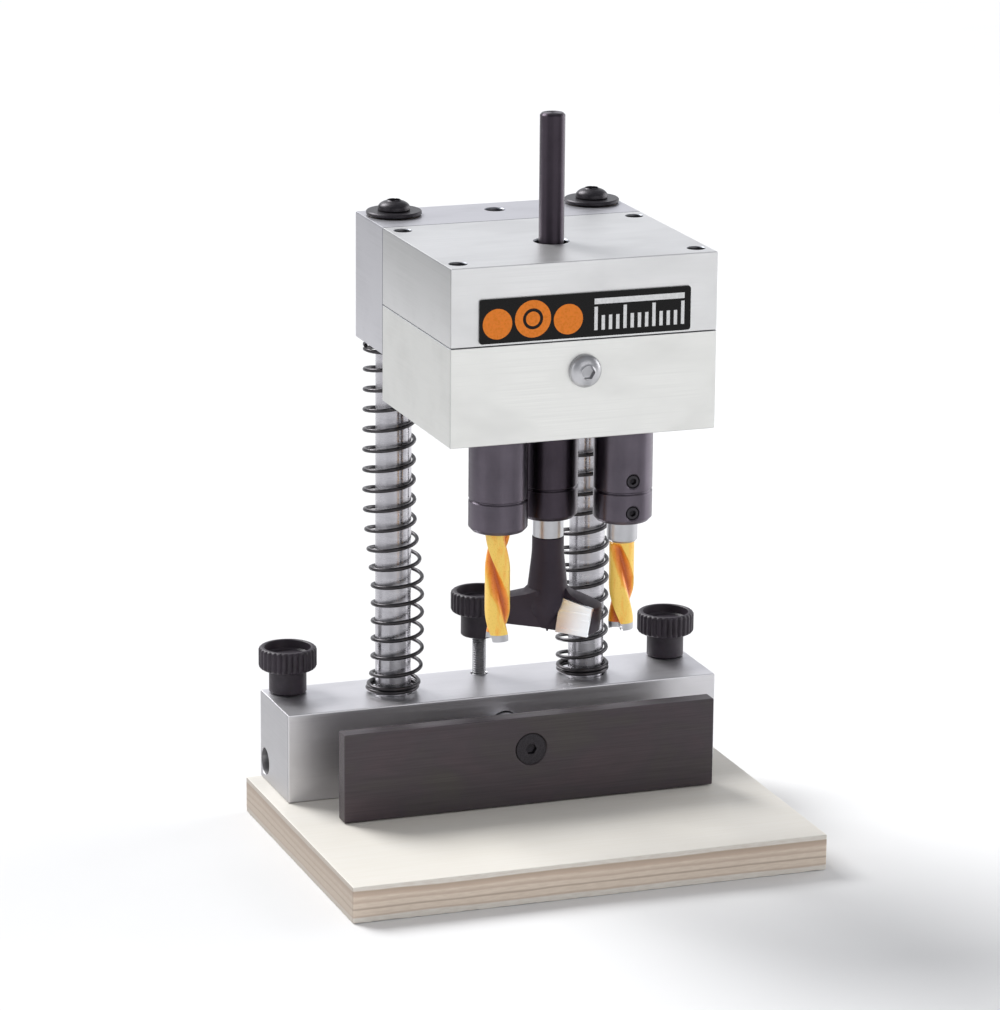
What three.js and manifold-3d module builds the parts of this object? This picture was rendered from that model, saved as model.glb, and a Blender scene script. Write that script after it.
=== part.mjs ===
// A drill-driven boring head with three geared spindles, for hinge cups and dowel holes.
// The head slides down two sprung columns that stand in a base bar on a plywood board. A fence on a rod
// and two side-stop bores, each with its own clamp knob, locate the workpiece under the bits.
// Units are millimetres, +Z is up. The origin is the middle of the footprint at the board's underside.
import * as THREE from 'three';
import { mergeVertices } from 'three/addons/utils/BufferGeometryUtils.js';
import Module from 'manifold-3d';

const wasm = await Module();
wasm.setup();

// ---------- driving dimensions ----------
// Heights are measured from the board's top face, and depths (Y) from the line through the columns.

const GAP = 0.3; // between faces that touch on the real machine
const THIN_GAP = 0.1; // between two faces that a screw pulls tight
const FIT = 0.2; // radial clearance of a pin or bearing in its bore
const OVERCUT = 1; // how far a cutting tool reaches past the face it opens

const M6 = { shankRadius: 2.9, tappedRadius: 3.1, buttonRadius: 5.25, buttonHeight: 3.3, socketRadius: 2.1 };

const BOARD = { width: 160, front: -99, back: 16, thickness: 12, chamfer: 0.5 };
const BASE = { length: 150, front: -15, back: 16, height: 30, chamfer: 0.8 };

const COLUMN = { radius: 6, spacing: 68, seatZ: 8, topZ: 190.3, chamfer: 0.5, tappedDepth: 18 };
const COLUMN_BOLT = { headRadius: 5, headHeight: 6, socketRadius: 2.9, topZ: 20 };
const COLUMN_BOLT_HOLE = { recess: 1.5, radius: 3.3 };
const WASHER = { holeRadius: 3.2, radius: 9, thickness: 1.3 };
const TOP_SCREW_LENGTH = 15;

const SPRING = { meanRadius: 8.2, wireRadius: 0.65, deadTurns: 1, liveTurns: 17.5, deadPitch: 1.5 };
const SPRING_DETAIL = { sides: 4, stepsPerTurn: 8 };

const HEAD = { width: 88, front: -84.8, seam: -18.6, bottomZ: 133.9, splitZ: 165.5, topZ: 190.5 };
const HEAD_CHAMFER = 0.7;
const GUIDE = { back: 9.4, bottomZ: 149 };
const BUSH_RADIUS = 8;
const COVER_SCREW = { headRadius: 2.6, headHeight: 2.6, shankRadius: 1.45, socketRadius: 1.4 };
const COVER_SCREW_PLACE = { x: 39.3, frontY: -77.8, rearY: -24.8, sunk: 0.9, holeBottomZ: 150, bottomZ: 152 };
const GUIDE_BOLT = { headRadius: 4.2, headHeight: 5, shankRadius: 2.4, socketRadius: 2.3, length: 44 };
const GUIDE_BOLT_PLACE = { x: 17, z: 157.5, sunk: 0.5, holeEndY: -37 };
const PLUG_SCREW = { z: 155.7, length: 13 };
const LABEL = { width: 69.6, bottomZ: 166.4, height: 14, thickness: 0.5, chamfer: 0.12 };

const PATTERN = { spacing: 42, offset: 11, driveY: -54 }; // 42/11 hinge boring pattern
const GEAR = { teeth: 19, bottomZ: 152.5, topZ: 163.5, pressureAngle: 20, backlash: 0.16 };
const CAVITY = { radius: 13.9, floorZ: 151 };
const BEARING = { innerRadius: 5.05, outerRadius: 11, width: 6, lowerZ: 144.7, upperZ: 165.9 };
const HOLDER = { radius: 9.4, bottomZ: 101.4, topZ: 133.2, boreRadius: 5.1, boreTopZ: 122, grooveZ: 111.6 };
const SPINDLE = { neckRadius: 6.5, neckHoleRadius: 7.1, seatRadius: 4.85, seatHoleRadius: 5.35, topZ: 174 };
const SHANK = { radius: 4, topZ: 231.3, chamfer: 0.6 };
const SET_SCREW = { radius: 2.05, heights: [105.3, 115.7], sunk: 0.4, socketRadius: 1.1, socketDepth: 1.8 };

const BIT_SHANK = { radius: 4.9, topZ: 121.5 };
const DRILL = { radius: 4, tipZ: 64.3, faceZ: 66.1, bodyTopZ: 94.2, twistPerMm: 0.122, steps: 8 };
const CUTTER = { radius: 17.5, pointZ: 62.8, faceZ: 64.8, rimTopZ: 73.2, wingTopZ: 76.6, stemTopZ: 94.7 };
const CUTTER_STEM = { footRadius: 6.6, topRadius: 5.1, coreRadius: 3 };
const BIT_ANGLES = { drive: -50, left: 48.3, right: 79.7 };

const FENCE = { width: 128, front: -40.8, thickness: 6, height: 30, chamfer: 0.6 };
const FENCE_ROD = { radius: 5, z: 19, end: 23, chamfer: 0.8, tappedDepth: 14 };
const FENCE_SCREW = { headRadius: 5.2, coneDepth: 2.6, sunk: 0.2, length: 14, socketRadius: 1.75 };

const CLAMP = { y: 10.8, sideX: 67, studRadius: 2.4, holeRadius: 2.75, padHeight: 4, padRadius: 2.3 };
const CLAMP_PAD_GAP = 0.15; // between a stud's end and its pad
const SIDE_BORE = { radius: 4.5, z: 6.6, depth: 25 };
const FENCE_KNOB_Z = 43.6;
const KNOB = { headRadius: 9.8, hubRadius: 6.2, hubHeight: 7.8, height: 15.3, studDepth: 9 };
const KNOB_RIBS = { count: 16, depth: 0.5 };
const DEPTH_STOP = { y: -1.4, threadRadius: 2.95, pinRadius: 2, threadBottomZ: 139, topZ: 189.6 };
const HEAD_STROKE = 58;

// ---------- colours ----------

function finish(color, roughness, metalness) {
  return new THREE.MeshStandardMaterial({ color, roughness, metalness });
}

const ALUMINIUM = () => finish(0xb9babf, 0.42, 1);
const STEEL = () => finish(0xb4b6ba, 0.25, 1);
const GUNMETAL = () => finish(0x3a383e, 0.4, 1);
const BURNISHED = () => finish(0x2c2728, 0.5, 0.8);
const BLACK_OXIDE = () => finish(0x17161a, 0.5, 0.6);
const BLACK_PLASTIC = () => finish(0x121114, 0.6, 0);
const ORANGE_COATING = () => finish(0xf08a1c, 0.35, 0.3);
const BRONZE = () => finish(0xa9793f, 0.4, 1);
const PLYWOOD = () => finish(0xe6d9be, 0.65, 0);

// ---------- geometry helpers ----------

function toSolid(geometry) {
  const bare = geometry.index ? geometry.toNonIndexed() : geometry.clone();
  bare.deleteAttribute('normal');
  bare.deleteAttribute('uv');
  const merged = mergeVertices(bare, 1e-4);
  const corners = merged.index.array;
  const kept = [];
  for (let i = 0; i < corners.length; i += 3) {
    const [a, b, c] = [corners[i], corners[i + 1], corners[i + 2]];
    if (a !== b && b !== c && c !== a) kept.push(a, b, c);
  }
  const vertProperties = merged.attributes.position.array;
  return new wasm.Manifold(new wasm.Mesh({ numProp: 3, vertProperties, triVerts: new Uint32Array(kept) }));
}

function toGeometry(solid) {
  const mesh = solid.getMesh();
  const geometry = new THREE.BufferGeometry();
  geometry.setAttribute('position', new THREE.BufferAttribute(mesh.vertProperties, 3));
  geometry.setIndex(new THREE.BufferAttribute(mesh.triVerts, 1));
  geometry.computeVertexNormals();
  return geometry;
}

function cut(body, ...tools) {
  return toGeometry(tools.reduce((left, tool) => left.subtract(toSolid(tool)), toSolid(body)));
}

const join = (...pieces) => toGeometry(pieces.map(toSolid).reduce((whole, piece) => whole.add(piece)));
const common = (a, b) => toGeometry(toSolid(a).intersect(toSolid(b)));

// A rectangular block between two corners, with every edge chamfered.
function block([x0, x1], [y0, y1], [z0, z1], chamfer) {
  const outline = new THREE.Shape([
    new THREE.Vector2(x0 + chamfer, y0),
    new THREE.Vector2(x1 - chamfer, y0),
    new THREE.Vector2(x1, y0 + chamfer),
    new THREE.Vector2(x1, y1 - chamfer),
    new THREE.Vector2(x1 - chamfer, y1),
    new THREE.Vector2(x0 + chamfer, y1),
    new THREE.Vector2(x0, y1 - chamfer),
    new THREE.Vector2(x0, y0 + chamfer),
  ]);
  const edges = { bevelSize: chamfer, bevelThickness: chamfer, bevelOffset: -chamfer, bevelSegments: 1 };
  const geometry = new THREE.ExtrudeGeometry(outline, { depth: z1 - z0 - 2 * chamfer, ...edges });
  return geometry.translate(0, 0, z0 + chamfer);
}

// An upright cylinder between two heights.
function rod(radius, z0, z1, x = 0, y = 0, sides = 18) {
  const cylinder = new THREE.CylinderGeometry(radius, radius, z1 - z0, sides);
  return cylinder.rotateX(Math.PI / 2).translate(x, y, (z0 + z1) / 2);
}

// A shape turned about Z from [radius, height] points listed from its lower end to its upper end.
function turned(profile, sides = 18) {
  const points = profile.map(([radius, z]) => new THREE.Vector2(radius, z));
  return new THREE.LatheGeometry(points, sides).rotateX(Math.PI / 2);
}

// A ring turned about Z, with its lower and upper edges chamfered.
function ring(innerRadius, outerRadius, z0, z1, chamfer = 0.3, sides = 18) {
  return turned([
    [innerRadius, z0],
    [outerRadius - chamfer, z0],
    [outerRadius, z0 + chamfer],
    [outerRadius, z1 - chamfer],
    [outerRadius - chamfer, z1],
    [innerRadius, z1],
    [innerRadius, z0],
  ], sides);
}

// Upright geometry laid down so that its +Z end points to +Y, to +X or to the front (-Y).
const alongY = (geometry) => geometry.rotateX(-Math.PI / 2);
const alongX = (geometry) => geometry.rotateY(Math.PI / 2);
const towardsFront = (geometry) => geometry.rotateX(Math.PI / 2);

// A hexagonal socket's cutting tool between two heights. Its radius is to the corners.
const hexSocket = (radius, z0, z1) => rod(radius, z0, z1, 0, 0, 6);

// The corners of a regular polygon about the origin.
function polygon(radius, sides) {
  return Array.from({ length: sides }, (_, i) => {
    const angle = (i * 2 * Math.PI) / sides;
    return new THREE.Vector2(radius * Math.cos(angle), radius * Math.sin(angle));
  });
}

function node(name, geometry, material, [x, y, z] = [0, 0, 0]) {
  const mesh = new THREE.Mesh(geometry, material);
  mesh.name = name;
  mesh.position.set(x, y, z);
  return mesh;
}

function groupAt([x, y, z], ...children) {
  const group = new THREE.Group();
  group.position.set(x, y, z);
  group.add(...children);
  return group;
}

// Spindle centres, with the angle from the drive spindle to each side spindle.
const sideReach = Math.hypot(PATTERN.spacing / 2, PATTERN.offset);
const SPINDLES = [
  { name: 'drive', x: 0, y: PATTERN.driveY },
  { name: 'left', x: -PATTERN.spacing / 2, y: PATTERN.driveY - PATTERN.offset },
  { name: 'right', x: PATTERN.spacing / 2, y: PATTERN.driveY - PATTERN.offset },
];
const SIDES = [{ name: 'left', sign: -1 }, { name: 'right', sign: 1 }];

// ---------- board and base ----------

const boltHeadBottom = -BOARD.thickness + COLUMN_BOLT_HOLE.recess;
const boltHeadTop = boltHeadBottom + COLUMN_BOLT.headHeight;

function plywoodBoard() {
  const half = BOARD.width / 2;
  const board = block([-half, half], [BOARD.front, BOARD.back], [-BOARD.thickness, 0], BOARD.chamfer);
  const holes = SIDES.flatMap(({ sign }) => {
    const x = (sign * COLUMN.spacing) / 2;
    const floor = boltHeadTop + GAP;
    return [
      rod(COLUMN_BOLT.headRadius + 0.5, -BOARD.thickness - OVERCUT, floor, x, 0, 16),
      rod(COLUMN_BOLT_HOLE.radius, -BOARD.thickness, OVERCUT, x, 0, 12),
    ];
  });
  return node('plywood_board', cut(board, ...holes), PLYWOOD());
}

function baseBlock() {
  const half = BASE.length / 2;
  const bar = block([-half, half], [BASE.front, BASE.back], [0, BASE.height], BASE.chamfer);
  const above = BASE.height + OVERCUT;
  const rodBore = alongY(rod(FENCE_ROD.radius + FIT, BASE.front - OVERCUT, BASE.back + OVERCUT));
  const tools = [
    rodBore.translate(0, 0, FENCE_ROD.z),
    rod(CLAMP.holeRadius, FENCE_ROD.z, above, 0, CLAMP.y, 16),
  ];
  for (const { sign } of SIDES) {
    const x = (sign * COLUMN.spacing) / 2;
    const boreLength = SIDE_BORE.depth + OVERCUT;
    const boreMiddle = sign * (half + OVERCUT - boreLength / 2);
    const bore = alongX(rod(SIDE_BORE.radius, -boreLength / 2, boreLength / 2));
    tools.push(
      rod(COLUMN.radius + FIT, COLUMN.seatZ, above, x),
      rod(COLUMN_BOLT_HOLE.radius, -OVERCUT, COLUMN.seatZ + OVERCUT, x, 0, 12),
      bore.translate(boreMiddle, CLAMP.y, SIDE_BORE.z),
      rod(CLAMP.holeRadius, SIDE_BORE.z, above, sign * CLAMP.sideX, CLAMP.y, 16),
    );
  }
  return node('base_block', cut(bar, ...tools), ALUMINIUM());
}

// ---------- columns, springs and their fasteners ----------

function column(side) {
  const { radius, topZ, chamfer, tappedDepth } = COLUMN;
  const bottom = COLUMN.seatZ + GAP;
  const bar = turned([
    [0, bottom],
    [radius - chamfer, bottom],
    [radius, bottom + chamfer],
    [radius, topZ - chamfer],
    [radius - chamfer, topZ],
    [0, topZ],
  ]);
  const tapped = [
    rod(M6.tappedRadius, bottom - OVERCUT, COLUMN_BOLT.topZ + 2, 0, 0, 12),
    rod(M6.tappedRadius, topZ - tappedDepth, topZ + OVERCUT, 0, 0, 12),
  ];
  return node(`${side}_column`, cut(bar, ...tapped), STEEL());
}

function columnBolt(side) {
  const { headRadius, headHeight, socketRadius, topZ } = COLUMN_BOLT;
  const bolt = turned([
    [0, boltHeadBottom],
    [headRadius, boltHeadBottom],
    [headRadius, boltHeadTop],
    [M6.shankRadius, boltHeadTop],
    [M6.shankRadius, topZ],
    [0, topZ],
  ], 16);
  const socket = hexSocket(socketRadius, boltHeadBottom - OVERCUT, boltHeadBottom + headHeight / 2);
  return node(`${side}_column_bolt`, cut(bolt, socket), BLACK_OXIDE());
}

const washerBottom = HEAD.topZ + GAP;
const washerTop = washerBottom + WASHER.thickness;

function columnWasher(side) {
  const washer = ring(WASHER.holeRadius, WASHER.radius, washerBottom, washerTop);
  return node(`${side}_column_washer`, washer, BLACK_OXIDE());
}

// An M6 button-head screw that points down, with the underside of its head at a height.
function buttonScrew(seat, length) {
  const top = seat + M6.buttonHeight;
  const r = M6.buttonRadius;
  const screw = turned([
    [0, seat - length],
    [M6.shankRadius, seat - length],
    [M6.shankRadius, seat],
    [r, seat],
    [r, seat + 0.6],
    [r * 0.9, seat + 1.6],
    [r * 0.72, seat + 2.6],
    [r * 0.46, top],
    [0, top],
  ], 16);
  return cut(screw, hexSocket(M6.socketRadius, top - 2, top + OVERCUT));
}

function columnTopScrew(side) {
  return node(`${side}_column_screw`, buttonScrew(washerTop + THIN_GAP, TOP_SCREW_LENGTH), BLACK_OXIDE());
}

// A compression spring's centre line: close turns at both ends and even turns between them.
class SpringLine extends THREE.Curve {
  constructor(z0, z1) {
    super();
    this.z0 = z0;
    this.turns = 2 * SPRING.deadTurns + SPRING.liveTurns;
    this.livePitch = (z1 - z0 - 2 * SPRING.deadTurns * SPRING.deadPitch) / SPRING.liveTurns;
  }

  getPoint(t, target = new THREE.Vector3()) {
    const turn = t * this.turns;
    const before = Math.min(turn, SPRING.deadTurns);
    const after = Math.max(turn - SPRING.deadTurns - SPRING.liveTurns, 0);
    const live = turn - before - after;
    const angle = turn * 2 * Math.PI;
    const z = this.z0 + (before + after) * SPRING.deadPitch + live * this.livePitch;
    return target.set(SPRING.meanRadius * Math.cos(angle), SPRING.meanRadius * Math.sin(angle), z);
  }
}

function spring(side) {
  const endGap = GAP + SPRING.wireRadius;
  const line = new SpringLine(BASE.height + endGap, GUIDE.bottomZ - endGap);
  const section = new THREE.Shape(polygon(SPRING.wireRadius, SPRING_DETAIL.sides));
  const options = { steps: SPRING_DETAIL.stepsPerTurn * line.turns, extrudePath: line, bevelEnabled: false };
  return node(`${side}_spring`, new THREE.ExtrudeGeometry(section, options), GUNMETAL());
}

// ---------- head ----------

const { x: coverScrewX, frontY: coverScrewFront, rearY: coverScrewRear } = COVER_SCREW_PLACE;
const coverScrewPlaces = SIDES.flatMap(({ name, sign }) => [
  { name: `front_${name}`, x: sign * coverScrewX, y: coverScrewFront },
  { name: `rear_${name}`, x: sign * coverScrewX, y: coverScrewRear },
]);
const coverScrewSeat = HEAD.topZ - COVER_SCREW.headHeight - COVER_SCREW_PLACE.sunk;

// A block as wide as the head, between two depths and two heights.
function headBlock(depths, heights) {
  const half = HEAD.width / 2;
  return block([-half, half], depths, heights, HEAD_CHAMFER);
}

function guideBoltHole(sign, radius, y0, y1) {
  const hole = alongY(rod(radius, y0, y1, 0, 0, 16));
  return hole.translate(sign * GUIDE_BOLT_PLACE.x, 0, GUIDE_BOLT_PLACE.z);
}

function lowerHousing() {
  const body = headBlock([HEAD.front, HEAD.seam - THIN_GAP], [HEAD.bottomZ, HEAD.splitZ - THIN_GAP]);
  const above = HEAD.splitZ + OVERCUT;
  const tools = SPINDLES.flatMap(({ x, y }) => [
    rod(CAVITY.radius, CAVITY.floorZ, above, x, y),
    rod(BEARING.outerRadius + FIT, BEARING.lowerZ - GAP, above, x, y, 18),
    rod(SPINDLE.neckHoleRadius, HEAD.bottomZ - OVERCUT, above, x, y, 12),
  ]);
  const coverHole = COVER_SCREW.shankRadius + FIT;
  for (const { x, y } of coverScrewPlaces) {
    tools.push(rod(coverHole, COVER_SCREW_PLACE.holeBottomZ, above, x, y, 8));
  }
  const guideHole = GUIDE_BOLT.shankRadius + FIT;
  for (const { sign } of SIDES) {
    tools.push(guideBoltHole(sign, guideHole, GUIDE_BOLT_PLACE.holeEndY, HEAD.seam + OVERCUT));
  }
  const plugEnd = HEAD.front + PLUG_SCREW.length + OVERCUT;
  const plugHole = alongY(rod(M6.tappedRadius, HEAD.front - OVERCUT, plugEnd, 0, 0, 12));
  tools.push(plugHole.translate(0, 0, PLUG_SCREW.z));
  return node('lower_housing', cut(body, ...tools), ALUMINIUM());
}

function upperHousing() {
  const body = headBlock([HEAD.front, HEAD.seam - THIN_GAP], [HEAD.splitZ + THIN_GAP, HEAD.topZ]);
  const below = HEAD.splitZ - OVERCUT;
  const above = HEAD.topZ + OVERCUT;
  const tools = SPINDLES.flatMap(({ name, x, y }) => [
    rod(BEARING.outerRadius + FIT, below, BEARING.upperZ + BEARING.width + GAP, x, y, 18),
    rod(SPINDLE.seatHoleRadius, below, name === 'drive' ? above : SPINDLE.topZ + 2, x, y, 12),
  ]);
  for (const { x, y } of coverScrewPlaces) {
    tools.push(
      rod(COVER_SCREW.headRadius + FIT, coverScrewSeat, above, x, y, 16),
      rod(COVER_SCREW.shankRadius + FIT, below, HEAD.topZ, x, y, 8),
    );
  }
  return node('upper_housing', cut(body, ...tools), ALUMINIUM());
}

function coverScrew({ name, x, y }) {
  const { headRadius, headHeight, shankRadius, socketRadius } = COVER_SCREW;
  const bottom = COVER_SCREW_PLACE.bottomZ;
  const seat = coverScrewSeat + THIN_GAP;
  const top = seat + headHeight;
  const screw = turned([
    [0, bottom],
    [shankRadius, bottom],
    [shankRadius, seat],
    [headRadius, seat],
    [headRadius, top],
    [0, top],
  ], 16);
  const socket = hexSocket(socketRadius, top - headHeight / 2, top + OVERCUT);
  return node(`${name}_cover_screw`, cut(screw, socket), BLACK_OXIDE(), [x, y, 0]);
}

function guideBlock() {
  const body = headBlock([HEAD.seam + THIN_GAP, GUIDE.back], [GUIDE.bottomZ, HEAD.topZ]);
  const below = GUIDE.bottomZ - OVERCUT;
  const above = HEAD.topZ + OVERCUT;
  const boltSeat = GUIDE.back - GUIDE_BOLT_PLACE.sunk - GUIDE_BOLT.headHeight - GAP;
  const tools = [rod(DEPTH_STOP.threadRadius + FIT, below, above, 0, DEPTH_STOP.y, 20)];
  for (const { sign } of SIDES) {
    tools.push(
      rod(BUSH_RADIUS + FIT, below, above, (sign * COLUMN.spacing) / 2),
      guideBoltHole(sign, GUIDE_BOLT.headRadius + FIT, boltSeat, GUIDE.back + OVERCUT),
      guideBoltHole(sign, GUIDE_BOLT.shankRadius + FIT, HEAD.seam - OVERCUT, GUIDE.back),
    );
  }
  return node('guide_block', cut(body, ...tools), ALUMINIUM());
}

// A socket-head bolt that enters from the rear face and holds the guide block to the lower housing.
function guideBolt({ name, sign }) {
  const { headRadius, headHeight, shankRadius, socketRadius, length } = GUIDE_BOLT;
  const bolt = turned([
    [0, 0],
    [headRadius, 0],
    [headRadius, headHeight],
    [shankRadius, headHeight],
    [shankRadius, length],
    [0, length],
  ], 20);
  const socketed = towardsFront(cut(bolt, hexSocket(socketRadius, -OVERCUT, headHeight / 2)));
  const { x, z, sunk } = GUIDE_BOLT_PLACE;
  return node(`${name}_guide_bolt`, socketed, BLACK_OXIDE(), [sign * x, GUIDE.back - sunk, z]);
}

function guideBush(side) {
  const bush = ring(COLUMN.radius + FIT, BUSH_RADIUS, GUIDE.bottomZ + GAP, HEAD.topZ - GAP);
  return node(`${side}_guide_bush`, bush, BRONZE());
}

function plugScrew() {
  const screw = towardsFront(buttonScrew(THIN_GAP, PLUG_SCREW.length));
  return node('grease_plug_screw', screw, STEEL(), [0, HEAD.front, PLUG_SCREW.z]);
}

function labelPlate() {
  const { width, bottomZ, height, thickness, chamfer } = LABEL;
  const half = width / 2;
  const back = HEAD.front - THIN_GAP;
  const plate = block([-half, half], [back - thickness, back], [bottomZ, bottomZ + height], chamfer);
  return node('label_plate', plate, BLACK_PLASTIC());
}

function depthStopScrew() {
  const { threadRadius, pinRadius, threadBottomZ, topZ, y } = DEPTH_STOP;
  const bottom = BASE.height + HEAD_STROKE + GAP;
  const screw = turned([
    [0, bottom],
    [pinRadius - 0.4, bottom],
    [pinRadius, bottom + 0.4],
    [pinRadius, threadBottomZ],
    [threadRadius, threadBottomZ + 0.9],
    [threadRadius, topZ],
    [0, topZ],
  ], 20);
  const socket = hexSocket(1.7, topZ - 3, topZ + OVERCUT);
  return node('depth_stop_screw', cut(screw, socket), BLACK_OXIDE(), [0, y, 0]);
}

// ---------- spindles ----------

const bearing = () => ring(BEARING.innerRadius, BEARING.outerRadius, 0, BEARING.width, 0.5, 18);

const pitchRadius = sideReach / 2;
const gearModule = sideReach / GEAR.teeth;
const toothPitch = (2 * Math.PI) / GEAR.teeth;

// Half of a tooth's angle at a radius, on an involute flank.
function halfToothAngle(radius) {
  const pressure = THREE.MathUtils.degToRad(GEAR.pressureAngle);
  const involute = (angle) => Math.tan(angle) - angle;
  const baseRadius = pitchRadius * Math.cos(pressure);
  const local = Math.acos(Math.min(baseRadius / radius, 1));
  const atPitch = toothPitch / 4 - GEAR.backlash / (2 * pitchRadius);
  return atPitch + involute(pressure) - involute(local);
}

function gear() {
  const rootRadius = pitchRadius - 1.2 * gearModule;
  const tipRadius = pitchRadius + 0.92 * gearModule;
  const flank = [rootRadius + 0.35, tipRadius];
  const at = (radius, angle) => new THREE.Vector2(radius * Math.cos(angle), radius * Math.sin(angle));
  const points = [];
  for (let tooth = 0; tooth < GEAR.teeth; tooth++) {
    const middle = tooth * toothPitch;
    points.push(at(rootRadius, middle - halfToothAngle(rootRadius + 0.35) - 0.02));
    for (const radius of flank) points.push(at(radius, middle - halfToothAngle(radius)));
    for (const radius of [...flank].reverse()) points.push(at(radius, middle + halfToothAngle(radius)));
    points.push(at(rootRadius, middle + halfToothAngle(rootRadius + 0.35) + 0.02));
  }
  const outline = new THREE.Shape(points);
  outline.holes.push(new THREE.Path().absarc(0, 0, SPINDLE.seatRadius + FIT, 0, 2 * Math.PI, true));
  const options = { depth: GEAR.topZ - GEAR.bottomZ, bevelEnabled: false, curveSegments: 10 };
  return new THREE.ExtrudeGeometry(outline, options).translate(0, 0, GEAR.bottomZ);
}

// The turn that puts a side gear's teeth in the drive gear's gaps.
function meshPhase({ name, x, y }) {
  if (name === 'drive') return 0;
  const angle = Math.atan2(y - PATTERN.driveY, x);
  return (2 * angle + Math.PI - toothPitch / 2) % toothPitch;
}

function spindle(name) {
  const { radius, bottomZ, topZ, grooveZ, boreRadius, boreTopZ } = HOLDER;
  const shoulder = BEARING.lowerZ - GAP;
  const profile = [
    [0, bottomZ],
    [radius - 1.2, bottomZ],
    [radius, bottomZ + 1.3],
    [radius, grooveZ - 0.5],
    [radius - 0.5, grooveZ],
    [radius, grooveZ + 0.5],
    [radius, topZ - 0.5],
    [radius - 0.5, topZ],
    [SPINDLE.neckRadius, topZ],
    [SPINDLE.neckRadius, shoulder],
    [SPINDLE.seatRadius, shoulder],
    [SPINDLE.seatRadius, SPINDLE.topZ],
  ];
  if (name === 'drive') {
    const { radius: shankRadius, topZ: shankTop, chamfer } = SHANK;
    profile.push(
      [shankRadius, SPINDLE.topZ],
      [shankRadius, shankTop - chamfer],
      [shankRadius - chamfer, shankTop],
      [0, shankTop],
    );
  } else {
    profile.push([0, SPINDLE.topZ]);
  }
  const screwHoles = SET_SCREW.heights.map((z) => {
    const hole = alongX(rod(SET_SCREW.radius + FIT, 0, radius + OVERCUT, 0, 0, 12));
    return hole.translate(0, 0, z);
  });
  return cut(turned(profile), rod(boreRadius, bottomZ - OVERCUT, boreTopZ), ...screwHoles);
}

// A grub screw that points to +X, from just outside the bit's shank to just inside the holder's wall.
function setScrew() {
  const { radius, sunk, socketRadius, socketDepth } = SET_SCREW;
  const start = BIT_SHANK.radius + GAP;
  const end = HOLDER.radius - sunk;
  const socket = hexSocket(socketRadius, end - socketDepth, end + OVERCUT);
  return alongX(cut(rod(radius, start, end, 0, 0, 12), socket));
}

// A left-handed two-flute drill with a centre point, below a plain shank. A quarter of its section is a land,
// the next quarter a flute, and the same again.
function drill() {
  const { radius, tipZ, faceZ, bodyTopZ, twistPerMm, steps } = DRILL;
  const web = 0.3;
  const outline = new THREE.Shape();
  outline.absarc(0, 0, radius, 0, Math.PI / 2);
  outline.quadraticCurveTo(-web, web, -radius, 0);
  outline.absarc(0, 0, radius, Math.PI, 1.5 * Math.PI);
  outline.quadraticCurveTo(web, -web, radius, 0);
  const options = { depth: bodyTopZ - faceZ + 0.5, steps, bevelEnabled: false, curveSegments: 4 };
  const body = new THREE.ExtrudeGeometry(outline, options);
  const position = body.attributes.position;
  for (let i = 0; i < position.count; i++) {
    const vertex = new THREE.Vector3().fromBufferAttribute(position, i);
    vertex.applyAxisAngle(new THREE.Vector3(0, 0, 1), -twistPerMm * vertex.z);
    position.setXYZ(i, vertex.x, vertex.y, vertex.z);
  }
  body.translate(0, 0, faceZ);
  const shank = turned([
    [0, bodyTopZ],
    [BIT_SHANK.radius, bodyTopZ],
    [BIT_SHANK.radius, BIT_SHANK.topZ],
    [0, BIT_SHANK.topZ],
  ], 16);
  const point = turned([[0, tipZ], [1.2, faceZ + 0.6], [0, faceZ + 0.6]], 8);
  return join(body, shank, point);
}

// A two-winged cutter for hinge cups: two wings with sloping tops at the foot of a tapered stem, and a centre
// point. Each wing starts with its straight leading face.
function cutter() {
  const { radius, pointZ, faceZ, rimTopZ, wingTopZ, stemTopZ } = CUTTER;
  const { footRadius, topRadius, coreRadius } = CUTTER_STEM;
  const wings = new THREE.Shape();
  for (const turn of [0, Math.PI]) {
    const at = (r, degrees) => {
      const angle = turn + THREE.MathUtils.degToRad(degrees);
      return [r * Math.cos(angle), r * Math.sin(angle)];
    };
    if (turn === 0) wings.moveTo(...at(radius, 0));
    else wings.lineTo(...at(radius, 0));
    wings.absarc(0, 0, radius, turn, turn + 0.52);
    wings.quadraticCurveTo(...at(radius * 0.72, 42), ...at(footRadius, 95));
    wings.lineTo(...at(footRadius * 0.6, 150));
  }
  wings.closePath();
  const height = wingTopZ - faceZ + 2;
  const plan = new THREE.ExtrudeGeometry(wings, { depth: height, bevelEnabled: false, curveSegments: 6 });
  const envelope = turned([
    [0, faceZ],
    [radius, faceZ],
    [radius, rimTopZ - 0.8],
    [radius - 0.8, rimTopZ],
    [footRadius + 0.6, wingTopZ],
    [footRadius, wingTopZ + 1],
    [0, wingTopZ + 1],
  ]);
  const stem = turned([
    [0, faceZ],
    [coreRadius, faceZ],
    [footRadius, wingTopZ - 4],
    [footRadius, wingTopZ],
    [topRadius, stemTopZ - 4],
    [topRadius, stemTopZ],
    [BIT_SHANK.radius, stemTopZ],
    [BIT_SHANK.radius, BIT_SHANK.topZ],
    [0, BIT_SHANK.topZ],
  ], 16);
  const point = turned([[0, pointZ], [1.3, faceZ + 1], [0, faceZ + 1]], 8);
  return join(common(plan.translate(0, 0, faceZ), envelope), stem, point);
}

const screwAngles = { drive: 60, left: 130, right: -90 };

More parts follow.
